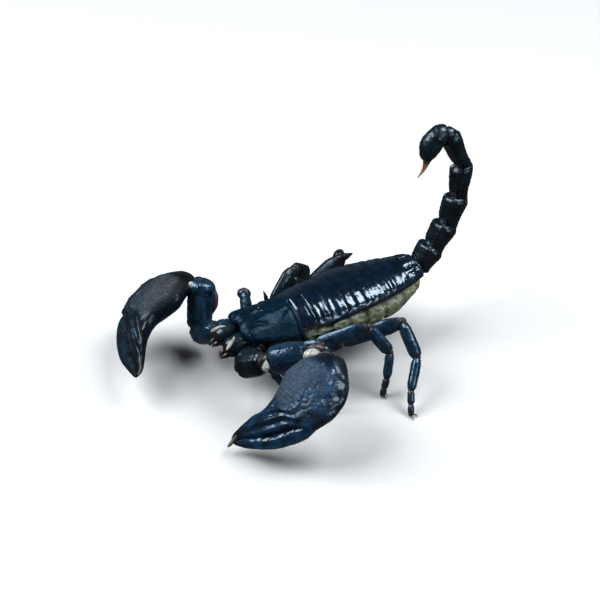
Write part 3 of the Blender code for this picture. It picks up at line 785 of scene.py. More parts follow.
def keeled(grid, share, turn, keels, salt, grain=0.05, spacing=0.6, beaded=0.6):
    """A limb segment with its keels, each (turn, width, height), and its grains."""
    beads = 1 - beaded + beaded * grains(grid, 0.85, salt)
    height = 0.05 * swell(grid, 1.6, salt + 1) + grain * grains(grid, spacing, salt + 2)
    fade = band(share, 0.02, 0.12, 0.90, 0.99)
    for at, width, high in keels:
        height = height + high * ridge(turn, at, width) * beads * fade
    return raised(grid, height)


def joint_ball(skins, centre, radius, along, stretch=1.0, salt=0):
    """The folded cuff of membrane inside a joint."""
    along = unit(vec(along))
    ways = (along, *beside(along, (0.31, 0.42, 0.85)))
    grid = oval(centre, ways, (radius * stretch, radius, radius), 20, 32, pleat=0.05)
    skins.rings(raised(grid, 0.06 * swell(grid, 0.7, salt)))


def hair(skins, root, way, length, thick):
    """One bristle, thick at its root and drawn out to a drooping point."""
    root, way, droop = vec(root), unit(vec(way)), vec((0, 0, -0.25))
    t = np.linspace(0, 1, 6)
    line = root + way * length * t[:, None] + droop * length * (t * t)[:, None]
    size = thick * (1 - 0.9 * t)
    grid = swept(line, *beside(way, (0.3, 0.5, 0.81)), size, size, round_turn(5))
    # Hairs that would reach the floor are left out.
    if grid[..., 2].min() >= LOWEST_HAIR:
        skins.rings(grid, 0.2)


def spike(skins, points, radii, brown=0.0, count=14, rings=22):
    """A claw, tooth or thorn along a bend, drawn out to its tip."""
    line = bent(points, rings)
    size = np.interp(np.linspace(0, 1, rings), np.linspace(0, 1, len(radii)), radii)
    side, up = beside(unit(np.gradient(line, axis=0)), (0.23, 0.31, 0.92))
    skins.rings(swept(line, side, up, size, size, round_turn(count)), brown)


def hand_frame(arm):
    """Where the hand starts, and its three directions: along it, outwards and to its back."""
    palm, tip = vec(arm["palm"]), vec(arm["tip"])
    along = unit(tip - palm)
    out = unit(np.cross(along, vec(arm["back_of_hand"])))
    back = np.cross(out, along)
    return palm, along, (out if palm[0] < 0 else -out), back


def claw_grid(arm, table, count, first, bulge=0.0, spread=0.0):
    """Rings of the hand or of its movable finger, and each point's place in the hand's frame."""
    palm, along, out, back = hand_frame(arm)
    start, length = table[0][0], table[-1][0] - table[0][0]
    step, last = 0.20, 0.2
    d = start + places(length, step, first, last)
    inner, outer, thick, arch = (column[:, None] for column in fair(table, d).T)
    inner = inner - bulge * hump(d, 11.5, 4.0)[:, None]
    outer = outer + spread * band(d, 13.0, 17.0, 28.0, 32.5)[:, None]
    keep = girth(d - start, length, first, last)[:, None]
    turn = round_turn(count)
    lateral = (inner + outer) / 2 + (outer - inner) / 2 * keep * np.cos(turn)
    # The fingers' backs are flatter than the palm's.
    swing = np.sin(turn)
    flatness = 1 - 0.45 * ease(d, 13.0, 18.0)[:, None]
    height = arch + thick * keep * np.where(swing > 0, np.abs(swing) ** flatness, swing)
    tip_end = ease(d, 23, 33)[:, None]
    grid = (palm + along * (d[:, None] + arm["reach"] * tip_end)[..., None]
            + out * (lateral - arm["hook"] * tip_end)[..., None]
            + back * height[..., None])
    return grid, d[:, None], lateral, turn, inner, outer


def wrinkles(d, lateral, size, salt):
    """Wrinkles that run along a finger, from -1 to 1."""
    return swell(np.stack([0.35 * d + 0 * lateral, lateral, 0 * lateral], axis=-1), size, salt)


def biting_teeth(d, lateral, salt):
    """The row of low teeth along a biting edge, 0.9 mm apart."""
    return grains(np.stack([d + 0 * lateral, 0 * lateral, 0 * lateral], axis=-1), 0.9, salt, 0.7)


def hand(side):
    """The broad hand and its fixed finger: dull grains on its back, a smooth heel, ridged finger."""
    arm = ARMS[side]
    salt = 100 if side == "left" else 140
    grid, d, lateral, turn, inner, outer = claw_grid(arm, HAND, 210, 1.2, bulge=arm["bulge"])
    top = ease(np.sin(turn), 0.05, 0.5)
    edge_gap = outer - lateral
    from_heel = d - 0.22 * edge_gap
    grained = top * band(d, 1.6, 3.4, 15.0, 18.5) * ease(edge_gap, 0.5, 2.4) * ease(from_heel, 0.2, 2.4)
    net = grains(grid, 0.78, salt, 0.6)
    height = 0.13 * net * (0.2 + 0.8 * grained) * ease(d, 0.5, 2.5)
    height += 0.22 * swell(grid, 3.4, salt + 5) * top * band(d, 1, 4, 22, 27)
    height += 0.06 * swell(grid, 1.2, salt + 6)
    # Three finger ridges run back on to the palm, with a furrow between the first two.
    for gap, high, wide in ((0.75, 0.26, 0.40), (3.3, 0.42, 0.70), (5.8, 0.44, 0.80)):
        height += high * top * hump(edge_gap, gap, wide) * band(d, 12.5, 15.5, 26, 29)
    height -= 0.25 * top * hump(edge_gap, 2.0, 0.6) * band(d, 13.5, 16.5, 24, 27)
    height += 0.13 * wrinkles(d, lateral, 0.95, salt + 7) * top * band(d, 13.5, 17, 25, 28)
    # The heel's outer rim is knobbly and polished.
    knobs = swell(grid, 1.5, salt + 8)
    height += 0.42 * knobs * top * (1 - ease(edge_gap, 2.0, 4.5)) * band(d, 0.5, 2.0, 11, 15)
    # The long keel from the heel to the finger's hinge, and the beaded outer rim.
    height += 0.26 * top * hump(lateral, 3.2 + 0.42 * (d - 3.0), 0.5) * band(d, 1.0, 3.5, 12, 15)
    rim = ridge(turn, 12, 13) * band(d, -0.5, 1.5, 14, 16.2)
    height += 0.30 * rim * (0.35 + 0.65 * grains(grid, 1.15, salt + 9))
    bite = ridge(turn, -8, 15) * band(d, 17.6, 18.6, 29, 30.4)
    teeth = biting_teeth(d, lateral, salt + 12)
    height += bite * (0.12 + 0.26 * teeth)
    grid = raised(grid, height)
    # The heel, the inner edge and the fingertip turn dark; the furrow between the finger ridges and the
    # underside are darkened as painted shade.
    heel = (1 - ease(from_heel, -0.6, 2.6)) * top
    brown = 0.75 * ease(d, 27.5, 30.5) + 0.35 * ridge(turn, 0, 14) * ease(d, 3, 8) + 0.9 * heel
    brown = brown + 0.6 * top * hump(edge_gap, 2.0, 0.7) * ease(d, 15.0, 18.0) + 0.5 * (1 - top)
    brown = brown + 0.7 * top * (1 - ease(edge_gap, 1.2, 3.2)) * (1 - ease(d, 8, 12)) + 0.5 * bite * teeth
    if side == "right":
        to_edge = np.minimum(edge_gap, lateral - inner)
        brown = brown + 0.9 * top * (1 - ease(to_edge, 0.6, 2.2)) * ease(d, 1.0, 4.0)
    worn = grained * (1 - 0.55 * ease(lateral, 2.5, 8.0)) * (0.6 + 0.4 * net)
    worn = np.maximum(worn, 0.28 * top * (1 - ease(edge_gap, 1.8, 4.0)) * (1 - ease(d, 12, 15)))
    piece = Skins()
    piece.rings(grid, brown=np.clip(brown, 0, 1), dull=np.clip(worn, 0, 1))
    piece.cast(f"{side}_hand_shell", FINISH[f"{side} hand"], "limb_cuticle", f"{side}_hand")
    if side == "left":
        # The tip is drawn out into a pale worn hook.
        hook, rings = Skins(), 22
        fading = np.linspace(0.8, 0.0, rings)[:, None]
        spike(hook, LEFT_TIP_HOOK, (0.9, 0.6, 0.42, 0.5, 0.2), fading, 20, rings)
        hook.cast("left_hand_hook", FINISH["worn horn"], "limb_cuticle")


def movable_finger(side):
    """The movable finger: a hinge knob, two ridges along its back, and a toothed biting edge."""
    arm = ARMS[side]
    salt = 180 if side == "left" else 200
    grid, d, lateral, turn, inner, outer = claw_grid(arm, MOVABLE_FINGER, 110, 0.9, spread=arm["spread"])
    height = 0.06 * swell(grid, 1.4, salt) + 0.05 * grains(grid, 0.8, salt + 1) * (1 - ease(d, 24, 28))
    height += 0.14 * ridge(turn, 80, 30) * band(d, 16, 19, 28, 31)
    top = ease(np.sin(turn), 0.2, 0.6)
    height += 0.10 * wrinkles(d, lateral, 0.8, salt + 7) * top * band(d, 15, 18, 28, 31)
    height += 0.20 * ridge(turn, 20, 12) * band(d, 17, 19, 28, 31)
    height -= 0.06 * ridge(turn, 45, 12) * band(d, 17, 20, 27, 30)
    bite = ridge(turn, 180, 16) * band(d, 18.5, 19.5, 30.4, 31.6)
    teeth = biting_teeth(d, lateral, salt + 12)
    height += bite * (0.10 + 0.26 * teeth)
    brown = 0.8 * ease(d, 28.5, 31.5) + 0.3 * (1 - ease(d, 14.4, 15.6)) + 0.5 * bite * teeth
    piece = Skins()
    piece.rings(raised(grid, height), brown=np.clip(brown, 0, 1))
    piece.cast(f"{side}_finger_shell", FINISH[f"{side} hand"], "limb_cuticle", f"{side}_movable_finger")


def pad(skins, centre, axis, radii, salt, brown=0.0):
    """A pad of soft skin that bulges out of a joint: its radii run along it, across it and outwards."""
    axis = unit(vec(axis))
    outwards = (0.70, -0.40, 0.59)
    grid = oval(centre, (axis, *beside(axis, outwards)), radii, 30, 44)
    skins.rings(raised(grid, 0.10 * swell(grid, 0.8, salt)), brown=brown)


def arm(side):
    """Upper segments of one arm, from the trunk to the wrist, and the membranes between them."""
    joints = ARMS[side]
    names = ("hip", "shoulder", "elbow", "wrist", "palm")
    hip, shoulder, elbow, wrist, palm = (vec(joints[name]) for name in names)
    up, back = (0.1, 0.0, 1.0), joints["back_of_hand"]
    left = side == "left"
    salt = 220 if left else 240
    # The left elbow is folded flat and its segments swell; the right one stands upright.
    if left:
        femur = ((0.0, 2.3, 2.4), (0.2, 2.9, 3.0), (0.6, 3.0, 3.1), (0.86, 2.9, 2.9), (1.0, 2.0, 2.1))
        patella = ((0.0, 2.4, 2.7), (0.16, 3.2, 3.6), (0.45, 3.4, 3.9), (0.8, 3.1, 3.5), (1.0, 2.1, 2.3))
    else:
        femur = ((0.0, 1.9, 2.0), (0.2, 2.6, 2.7), (0.6, 3.0, 3.1), (0.86, 3.1, 3.2), (1.0, 2.3, 2.4))
        patella = ((0.0, 2.1, 2.3), (0.16, 3.0, 3.0), (0.5, 3.25, 3.3), (0.85, 3.3, 3.4), (1.0, 2.7, 2.9))
    parts = (
        ("trochanter", hip, shoulder, (0.0, -0.6), up,
         ((0.0, 1.9, 2.0), (0.3, 2.7, 2.8), (0.7, 2.9, 3.0), (1.0, 2.3, 2.4)),
         ((60, 14, 0.2), (120, 14, 0.2), (240, 16, 0.15))),
        ("femur", shoulder, elbow, (-0.5, 0.7 if left else -0.2), up, femur,
         ((45, 9, 0.32), (135, 9, 0.32), (-20, 9, 0.22), (200, 9, 0.22))),
        ("patella", elbow, wrist, (0.4, 1.2) if left else (0.5, -1.8), back, patella,
         ((40, 9, 0.30), (100, 8, 0.22), (150, 9, 0.30), (-30, 9, 0.22), (215, 9, 0.22))),
    )
    rounded = (1.3, 1.5 if left else 2.4)
    for k, (label, start, end, trims, towards, shape, keels) in enumerate(parts):
        grid, share, turn = limb_grid(start, end, trims, towards, shape, rounded, 96, 0.22)
        grid = keeled(grid, share, turn, keels, salt + 5 * k, 0.07, 0.75)
        # The left trochanter and femur get the nearly black tail cuticle as painted shade, for the shadow
        # they lie in.
        finish = FINISH["tail" if left and label != "patella" else "limb"]
        rim = np.clip(0.45 * (1 - ease(share, 0.0, 0.10)) + 0.45 * ease(share, 0.94, 1.0), 0, 1)
        piece = Skins()
        # The dull mark on the segments' tops lightens them a little: a painted sheen along the top.
        piece.rings(grid, brown=rim + 0 * turn, dull=0.2 * ridge(turn, 90, 50) + 0 * share)
        piece.cast(f"{side}_arm_{label}_shell", finish, "limb_cuticle", f"{side}_arm_{label}")
    cuffs = Skins()
    joint_ball(cuffs, shoulder, 1.9, elbow - shoulder, 1.1, salt + 20)
    joint_ball(cuffs, elbow, 2.3, wrist - elbow, 1.0, salt + 21)
    joint_ball(cuffs, hip + 0.2 * unit(shoulder - hip), 1.9, shoulder - hip, 1.0, salt + 23)
    joint_ball(cuffs, (wrist + palm) / 2 + (0, 0, -0.6), 1.7, palm - wrist, 1.4, salt + 22)
    if left:
        # The elbow's cuff bulges outwards, under the pale drop.
        pad(cuffs, (16.0, -26.3, 17.1), (0.0, -0.2, 1.0), (2.1, 1.0, 1.5), salt + 24)
    cuffs.cast(f"{side}_arm_socket_skins", FINISH["socket"], "limb_cuticle")
    soft, folds = Skins(), Skins()
    if left:
        # The pale skin of the wrist, its brown knuckle, and the drop-shaped pad outside the elbow.
        pad(soft, (22.3, -17.1, 20.0), (0.5, 0.866, 0.0), (2.2, 1.8, 2.2), salt + 30)
        pad(folds, (21.2, -15.6, 21.0), (0.5, 0.866, 0.0), (2.0, 0.9, 1.0), salt + 31)
        rings = 22
        drop = ((15.9, -26.4, 19.3), (16.5, -26.6, 18.6), (17.0, -26.8, 17.8), (17.6, -27.1, 16.9),
                (17.9, -27.3, 16.2))
        spike(soft, drop, (0.08, 0.3, 0.7, 1.0, 0.4), np.linspace(0.0, 0.35, rings)[:, None], 24, rings)
    else:
        # A pale knob of skin at the wrist, and a brown fold up the back of the elbow.
        pad(soft, (-19.8, -27.9, 18.1), (-0.3, -0.5, 0.8), (1.3, 0.95, 1.0), salt + 30)
        spike(folds, ((-16.0, -24.5, 10.6), (-16.4, -23.6, 12.2), (-17.2, -23.0, 14.2), (-18.6, -22.5, 16.6)),
              (0.2, 0.8, 0.9, 0.3), count=24)
    soft.cast(f"{side}_arm_pale_skin", FINISH["joint"], "limb_cuticle")
    folds.cast(f"{side}_arm_brown_fold", FINISH["fold"], "limb_cuticle")


def leg(side, number):
    """One walking leg with its trochanter, femur, patella, shin, foot, spurs and claws."""
    hip, knee, shin, ankle, toe = (vec(p) for p in LEGS[side][number - 1])
    wide = LEG_HALF_WIDTHS[number - 1]
    salt = 300 + 20 * number + (0 if side == "left" else 9)
    up = (0.0, 0.0, 1.0)
    root = hip + 0.22 * (knee - hip)
    if (side, number) == ("right", 4):
        # This knee hangs lower than its solid, which only shows from outside.
        knee = knee - (0.0, 0.0, 1.9)
    mid_foot = ankle + 0.52 * (toe - ankle)
    out = unit((toe - hip) * (1, 1, 0))
    spans = ((hip, root, (0.2, 0.2)), (root, knee, (0.1, 0.15)), (knee, shin, (0.35, 0.1)),
             (shin, ankle, (0.1, 0.0)), (ankle, mid_foot, (0.0, 0.0)), (mid_foot, toe, (0.0, 0.25)))
    upper, lower = Skins(), Skins()
    stout = STOUT_LEGS.get((side, number), 1.0)
    for k, ((start, end, trims), (profile, keels)) in enumerate(zip(spans, LEG_SEGMENTS)):
        swollen = stout if k < 3 else 1.0
        shape = [(at, half * wide * (1 + swollen) / 2, tall * wide * swollen) for at, half, tall in profile]
        grid, share, turn = limb_grid(start, end, trims, up, shape, (0.35, 0.35), 48, 0.26)
        grid = keeled(grid, share, turn, keels, salt + k, 0.04, 0.55, 0.5)
        grid[..., 2] = np.maximum(grid[..., 2], 0.0)
        rim = 0.5 * (1 - ease(share, 0.0, 0.12)) + 0.6 * ease(share, 0.86, 1.0) + (0.25 if k >= 4 else 0.0)
        (upper if k < 3 else lower).rings(grid, brown=np.clip(rim, 0, 1), dull=0.15)
    if (side, number) == ("right", 4):
        # The knee's rear edge is drawn out into a flat thorn.
        thorn = ((-0.4, -0.8, 0.4), (0.5, 0.9, 0.9), (1.2, 2.2, 1.5), (1.8, 3.3, 2.2))
        spike(upper, [knee + point for point in thorn], (1.0, 1.1, 0.8, 0.1), 0.3)
    if (side, number) == ("right", 1):
        # This knee is swollen and flat on top.
        pad(upper, knee + (0, 0, -0.8), (0.5, 0.866, 0.0), (1.75, 1.45, 1.4), salt + 30, 0.25)
    if (side, number) == ("right", 3):
        # A long thorn stands up from its hip, and its folded knee is filled by the swollen segments.
        spike(upper, ((-9.0, -12.4, 12.6), (-9.3, -12.5, 14.6), (-9.7, -12.6, 15.9), (-10.4, -12.7, 16.9)),
              (0.7, 0.6, 0.5, 0.1), 0.2)
        pad(upper, (-11.9, -3.3, 15.7), (0.5, 0.866, 0.0), (1.7, 1.5, 1.5), salt + 30, 0.2)
    stem = f"{side}_leg_{number}"
    # The stout legs get the nearly black tail cuticle as painted shade, for their shaded side away from the
    # light.
    finish = FINISH["tail" if stout > 1 else "limb"]
    upper.cast(f"{stem}_upper_shell", finish, "limb_cuticle", f"{stem}_femur", f"{stem}_patella")
    lower.cast(f"{stem}_lower_shell", finish, "limb_cuticle", f"{stem}_foot")
    cuffs = Skins()
    joint_ball(cuffs, knee, 0.60 * wide, shin - knee, 1.0, salt + 10)
    joint_ball(cuffs, shin, 0.46 * wide, ankle - shin, 1.1, salt + 11)
    joint_ball(cuffs, ankle, 0.38 * wide, toe - ankle, 1.1, salt + 12)
    joint_ball(cuffs, mid_foot, 0.33 * wide, toe - ankle, 1.2, salt + 13)
    cuffs.cast(f"{stem}_joint_skins", FINISH["socket"], "limb_cuticle")
    horn = Skins()
    across, down = unit(np.cross(out, up)), unit(toe - ankle)
    for sign in (1, -1):
        base = toe + across * (0.22 * sign) + (0, 0, 0.55)
        spread = out + across * (0.55 * sign)
        curl = ((0, 0), (0.55, 0.15), (1.05, -0.1), (1.25, -0.48))
        claw = [base + spread * reach + (0, 0, rise) for reach, rise in curl]
        spike(horn, claw, (0.24, 0.2, 0.13, 0.03), 0.1)
        base = ankle - 0.15 * (ankle - shin) + across * (0.3 * wide * sign)
        flare = ((0, 0), (0.6, 0.25), (1.1, 0.3))
        spur = [base + down * reach + across * (aside * sign) for reach, aside in flare]
        spike(horn, spur, (0.16, 0.1, 0.02), 0.3, rings=8)
    # Short bristle-like spines in two rows under the foot.
    for t in (0.25, 0.5, 0.75):
        for sign in (1, -1):
            base = mid_foot + (toe - mid_foot) * t + across * (0.3 * wide * sign) - out * 0.15
            tip = base + across * (0.18 * sign) - out * 0.25 + down * 0.35
            spike(horn, (base, tip), (0.10, 0.02), 0.4, rings=5)
    horn.cast(f"{stem}_claws", FINISH["horn"], "limb_cuticle")


# Tail.


def mitred(start, end, before, after, shape, low, first, last):
    """Rings of a tail segment: their ends lean half way to its neighbours, and narrow ones sit low."""
    along = unit(end - start)
    lean = (unit(along + before), unit(along + after))
    length = np.linalg.norm(end - start)
    s = places(length, 0.20, first, last)
    share = s / length
    wide, tall = (fair(shape, share) * girth(s, length, first, last)[:, None]).T
    ways = unit(along + (lean[0] - along) * (1 - ease(share, 0.0, 0.4))[:, None]
                + (lean[1] - along) * ease(share, 0.6, 1.0)[:, None])
    side = vec((1, 0, 0))
    up = np.cross(side, ways)
    drop = low * (1 - ease(share, 0.0, 0.35)) + 0.45 * low * ease(share, 0.8, 1.0)
    turn = round_turn(104)
    grid = swept(start + along * s[:, None] - up * drop[:, None], side, up, wide, tall, turn)
    return grid, share[:, None], turn


def tail():
    """Five keeled segments, each swollen towards its far end, and the dark membranes between them."""
    joints = [vec((0, *p)) for p in TAIL_JOINTS]
    ways = [unit(b - a) for a, b in zip(joints, joints[1:])]
    cuffs = Skins()
    for i, (start, end) in enumerate(zip(joints, joints[1:])):
        wide, tall = TAIL_HALF_SIZES[i]
        before, after = ways[max(i - 1, 0)], ways[min(i + 1, 4)]
        shape = [(at, half * wide, high * tall) for at, half, high in TAIL_SWELLING]
        grid, share, turn = mitred(start - 0.9 * ways[i], end + 0.9 * ways[i], before, after, shape,
                                   0.24 * tall, 1.0, 1.9 if i < 4 else 2.6)
        side_keels = ((8, 7, 0.12), (172, 7, 0.12)) if i < 2 else ()
        keels = ((52, 8, 0.22), (128, 8, 0.22), (28, 7, 0.14), (152, 7, 0.14),
                 (-38, 8, 0.16), (218, 8, 0.16), (-72, 8, 0.14), (252, 8, 0.14)) + side_keels
        if i == 4:
            keels = ((45, 9, 0.16), (135, 9, 0.16), (-35, 8, 0.22), (215, 8, 0.22), (270, 9, 0.22))
        grid = keeled(grid, share, turn, keels, 400 + 5 * i, 0.05, 0.7, 0.75)
        # The upper keels end in a stronger tooth over the next joint.
        tooth = ridge(turn, 52, 9) + ridge(turn, 128, 9)
        grid = raised(grid, tooth * hump(share, 0.86, 0.06) * (0.22 if i < 4 else 0.05))
        crest = sum(ridge(turn, at, width) for at, width, _ in keels)
        rim = 0.5 * (1 - ease(share, 0.0, 0.10)) + 0.5 * ease(share, 0.93, 1.0)
        piece = Skins()
        piece.rings(grid, brown=np.clip(rim + 0.30 * crest, 0, 1))
        piece.cast(f"tail_ring_{i + 1}", FINISH["tail"], "tail_cuticle", f"tail_segment_{i + 1}")
        joint_ball(cuffs, start, 0.74 * wide, ways[i] + ways[max(i - 1, 0)], 0.9, 430 + i)
    joint_ball(cuffs, joints[-1] + (0, -0.4, 0.2), 2.0, (0, -1, 0.3), 1.1, 440)
    cuffs.cast("tail_joint_skins", FINISH["tail"], "tail_cuticle")


def telson():
    """The venom bulb with low grains, drawn out into the smooth amber sting."""
    spine = vec([(0, *p) for p in TELSON_SPINE])
    rings = 100
    line = bent(spine, rings)
    reach = reach_along(spine)
    t = np.linspace(0, reach[-1], rings)
    size = fair(list(zip(reach, TELSON_RADII)), t)[:, 0] * girth(t, reach[-1] + 0.15, 0.5, 0.15)
    side, turn = vec((1, 0, 0)), round_turn(80)
    grid = swept(line, side, np.cross(side, unit(np.gradient(line, axis=0))), size, size, turn)
    bulb = (1 - ease(t, 7.0, 9.0))[:, None]
    grid = raised(grid, bulb * (0.10 * swell(grid, 1.8, 450) + 0.08 * grains(grid, 0.8, 451)))
    cut = int(np.argmax(t > 9.4))
    bulb_skin, sting = Skins(), Skins()
    bulb_skin.rings(grid[:cut + 1], brown=ease(t, 8.2, 10.2)[:cut + 1, None], dull=0.1)
    sting.rings(grid[cut:], brown=0.9 * (1 - ease(t, 9.6, 11.4))[cut:, None])
    bulb_skin.cast("telson_bulb", FINISH["tail"], "tail_cuticle", "telson")
    sting.cast("telson_sting", FINISH["sting"], "tail_cuticle")


# Underside and jaws.


def leg_bases():
    """The leg bases that fan out from the breast plate, and the trunk's skin above them."""
    def lower(row, edge):
        wide, under = row
        middle = (edge + under) / 2
        left = [(wide, edge - 0.5), (wide, middle), (0.8 * wide, under + 1.2)]
        return left + [(-x, z) for x, z in left[::-1]]

    y = np.linspace(-24.2, -11.4, 52)
    core = girdle(y, BREAST, lower, 1.3, 100)
    core = raised(core, 0.12 * swell(core * (1, 0.5, 1), 1.1, 500))
    body = Skins()
    body.rings(core, brown=0.6)
    body.cast("breast_skin", FINISH["socket"], "limb_cuticle")

    inner = ((1.0, -20.2, 12.1), (1.1, -17.6, 11.95), (1.9, -14.7, 11.9), (2.1, -12.3, 11.8))
    bases = Skins()
    for side, sign in SIDES.items():
        for number, start in enumerate(inner):
            hip = vec(LEGS[side][number][0])
            start = vec(start) * (sign, 1, 1)
            wide = (1.6, 1.75, 1.75, 1.85)[number]
            shape = ((0.0, 0.75 * wide, 1.15), (0.2, wide, 1.45), (0.75, 1.05 * wide, 1.6),
                     (1.0, 0.8 * wide, 1.35))
            grid, share, turn = limb_grid(start, hip, (-0.3, -0.2), (0, 0, 1), shape, (0.5, 0.6), 44, 0.32)
            grid = keeled(grid, share, turn, ((-35, 12, 0.15), (215, 12, 0.15)), 510 + number, 0.06, 0.7)
            bases.rings(grid, brown=0.5 * ease(share, 0.85, 1.0) + 0.3 * (1 - ease(share, 0.0, 0.15)),
                        dull=0.1)
        shoulder = vec(ARMS[side]["hip"])
        grid, share, turn = limb_grid(vec((1.5 * sign, -20.8, 12.6)), shoulder, (-0.4, -0.4), (0, 0, 1),
                                      ((0.0, 1.3, 1.4), (0.3, 1.9, 1.9), (0.8, 2.3, 2.2), (1.0, 1.8, 1.9)),
                                      (0.6, 0.7), 44, 0.32)
        grid = keeled(grid, share, turn, ((30, 12, 0.15),), 520, 0.07, 0.7)
        bases.rings(grid, brown=0.4 * ease(share, 0.85, 1.0), dull=0.1)
        # Mouth lobes of the first two bases, pointing forwards between the arms.
        for x0, y0, x1, y1 in ((0.8, -19.8, 0.75, -24.6), (2.3, -20.0, 2.1, -24.0)):
            root, tip = vec((x0 * sign, y0, 11.7)), vec((x1 * sign, y1, 12.2))
            shape = ((0.0, 0.6, 0.7), (0.4, 0.68, 0.8), (1.0, 0.45, 0.5))
            lobe, share, _ = limb_grid(root, tip, (0, 0), (0, 0, 1), shape, (0.3, 0.4), 28, 0.30)
            bases.rings(raised(lobe, 0.03 * swell(lobe, 0.9, 530)), brown=0.4 * ease(share, 0.7, 1.0))
    bases.cast("leg_bases", FINISH["limb"], "limb_cuticle", "breast")

    plates = Skins()
    outline = ((-16.6, 0.5), (-16.0, 1.3), (-13.6, 1.55), (-12.4, 1.5))
    for table, low in ((outline, 10.35), (((-12.2, 1.2), (-11.6, 1.9), (-10.6, 1.7), (-10.1, 0.8)), 10.2)):
        y = np.linspace(table[0][0], table[-1][0], 26)
        half = fair(table, y)[:, 0][:, None]
        v = np.sin(np.linspace(-math.pi / 2, math.pi / 2, 44))[None]
        grid = np.stack([half * v, y[:, None] + 0 * v, low + 0.25 * np.abs(v) ** 3 + 0 * half], axis=-1)
        split = -0.25 * hump(grid[..., 0], 0, 0.22)
        fall, nearest = edge_round(grid, 0.2)
        outer = grid + np.array([0, 0, -1.0]) * (split * ease(nearest, 0, 0.3) - fall)[..., None]
        inner_face = grid + np.array([0, 0, 0.9])
        plates.sheet(outer, inner_face, brown=0.3)
    plates.cast("breast_plate_and_lid", FINISH["belly"], "limb_cuticle")


def combs():
    """The two sensory combs: a jointed stem with a row of flat teeth."""
    for side, sign in SIDES.items():
        start, end = vec((sign * 1.2, -10.0, 10.0)), vec((sign * 7.6, -7.9, 8.9))
        comb = Skins()
        for k in range(3):
            a, b = start + (end - start) * (k / 3), start + (end - start) * ((k + 1) / 3)
            stem = ((0.0, 0.42, 0.3), (0.5, 0.55, 0.36), (1.0, 0.4, 0.28))
            grid, _, _ = limb_grid(a, b, (0.02, 0.02), (0, 0, 1), stem, (0.2, 0.2), 24, 0.20)
            comb.rings(grid, brown=0.15)
        along = unit(end - start)
        trail = unit(np.cross((0, 0, 1.0), along)) * sign
        for k in range(15):
            root = start + (end - start) * ((k + 0.7) / 15.4) + trail * 0.35
            reach = 1.25 * math.sin(math.pi * (0.18 + 0.72 * k / 14)) + 0.35
            tooth = ((0.0, 0.15, 0.13), (0.5, 0.19, 0.15), (1.0, 0.14, 0.12))
            tip = root + trail * reach + (0, 0, -0.12)
            grid, _, _ = limb_grid(root, tip, (0, 0), (0, 0, 1), tooth, (0.1, 0.14), 12, 0.14)
            comb.rings(grid)
        comb.cast(f"{side}_comb_teeth", FINISH["comb"], "pleural_skin", f"{side}_comb")


def jaws():
    """The two short jaws, each with a fixed and a movable finger, teeth, and a brush of hairs."""
    for side, sign in SIDES.items():
        start, end = vec((2.4 * sign, -23.6, 15.0)), vec((2.6 * sign, -31.5, 12.9))
        shape = ((0.0, 1.8, 1.8), (0.25, 2.4, 2.45), (0.6, 2.45, 2.6), (0.85, 2.0, 2.2), (1.0, 1.3, 1.4))
        grid, share, _ = limb_grid(start, end, (0, 0.9), (0, 0, 1), shape, (0.6, 1.4), 76, 0.22)
        grid = raised(grid, 0.06 * swell(grid, 1.2, 600) + 0.03 * grains(grid, 0.6, 601))
        jaw = Skins()
        jaw.rings(grid, brown=0.45 * ease(share, 0.8, 1.0))
        jaw.cast(f"{side}_jaw", FINISH["tail"], "limb_cuticle", f"{side}_chelicera")
        # A strip of pale joint skin between the jaw's base and its movable finger; its pale colour is a
        # painted highlight, the bright stroke down the jaw.
        highlight_strip = Skins()
        fold = ((2.3, -27.4, 16.5), (3.0, -28.2, 16.2), (3.5, -29.1, 15.8), (3.9, -30.0, 15.3),
                (4.2, -30.7, 14.9))
        spike(highlight_strip, [vec(point) * (sign, 1, 1) for point in fold], (0.15, 0.4, 0.5, 0.45, 0.15), count=18)
        highlight_strip.cast(f"{side}_jaw_pale_highlight_skin", FINISH["joint"], "limb_cuticle")
        fangs = Skins()
        along = unit(end - start)
        for offset, reach, bend in ((-0.75 * sign, 1.5, 0.2 * sign), (0.85 * sign, 1.7, -0.5 * sign)):
            root = start + along * 6.8 + (offset, 0, -0.5)
            fang = (root - along * 0.6, root + along * 0.5,
                    root + along * reach * 0.75 + (bend * 0.4, 0, -0.15),
                    root + along * reach + (bend, 0, -0.5))
            spike(fangs, fang, (0.75, 0.7, 0.45, 0.08), 0.75)
        for k in range(3):
            root = start + along * (7.8 + 0.45 * k) + (-0.05 * sign, 0, -0.45)
            spike(fangs, (root, root + (0.35 * sign, 0, -0.15)), (0.2, 0.04), 0.6, rings=5)
        fangs.cast(f"{side}_jaw_fangs", FINISH["tail"], "limb_cuticle")


# Hairs.


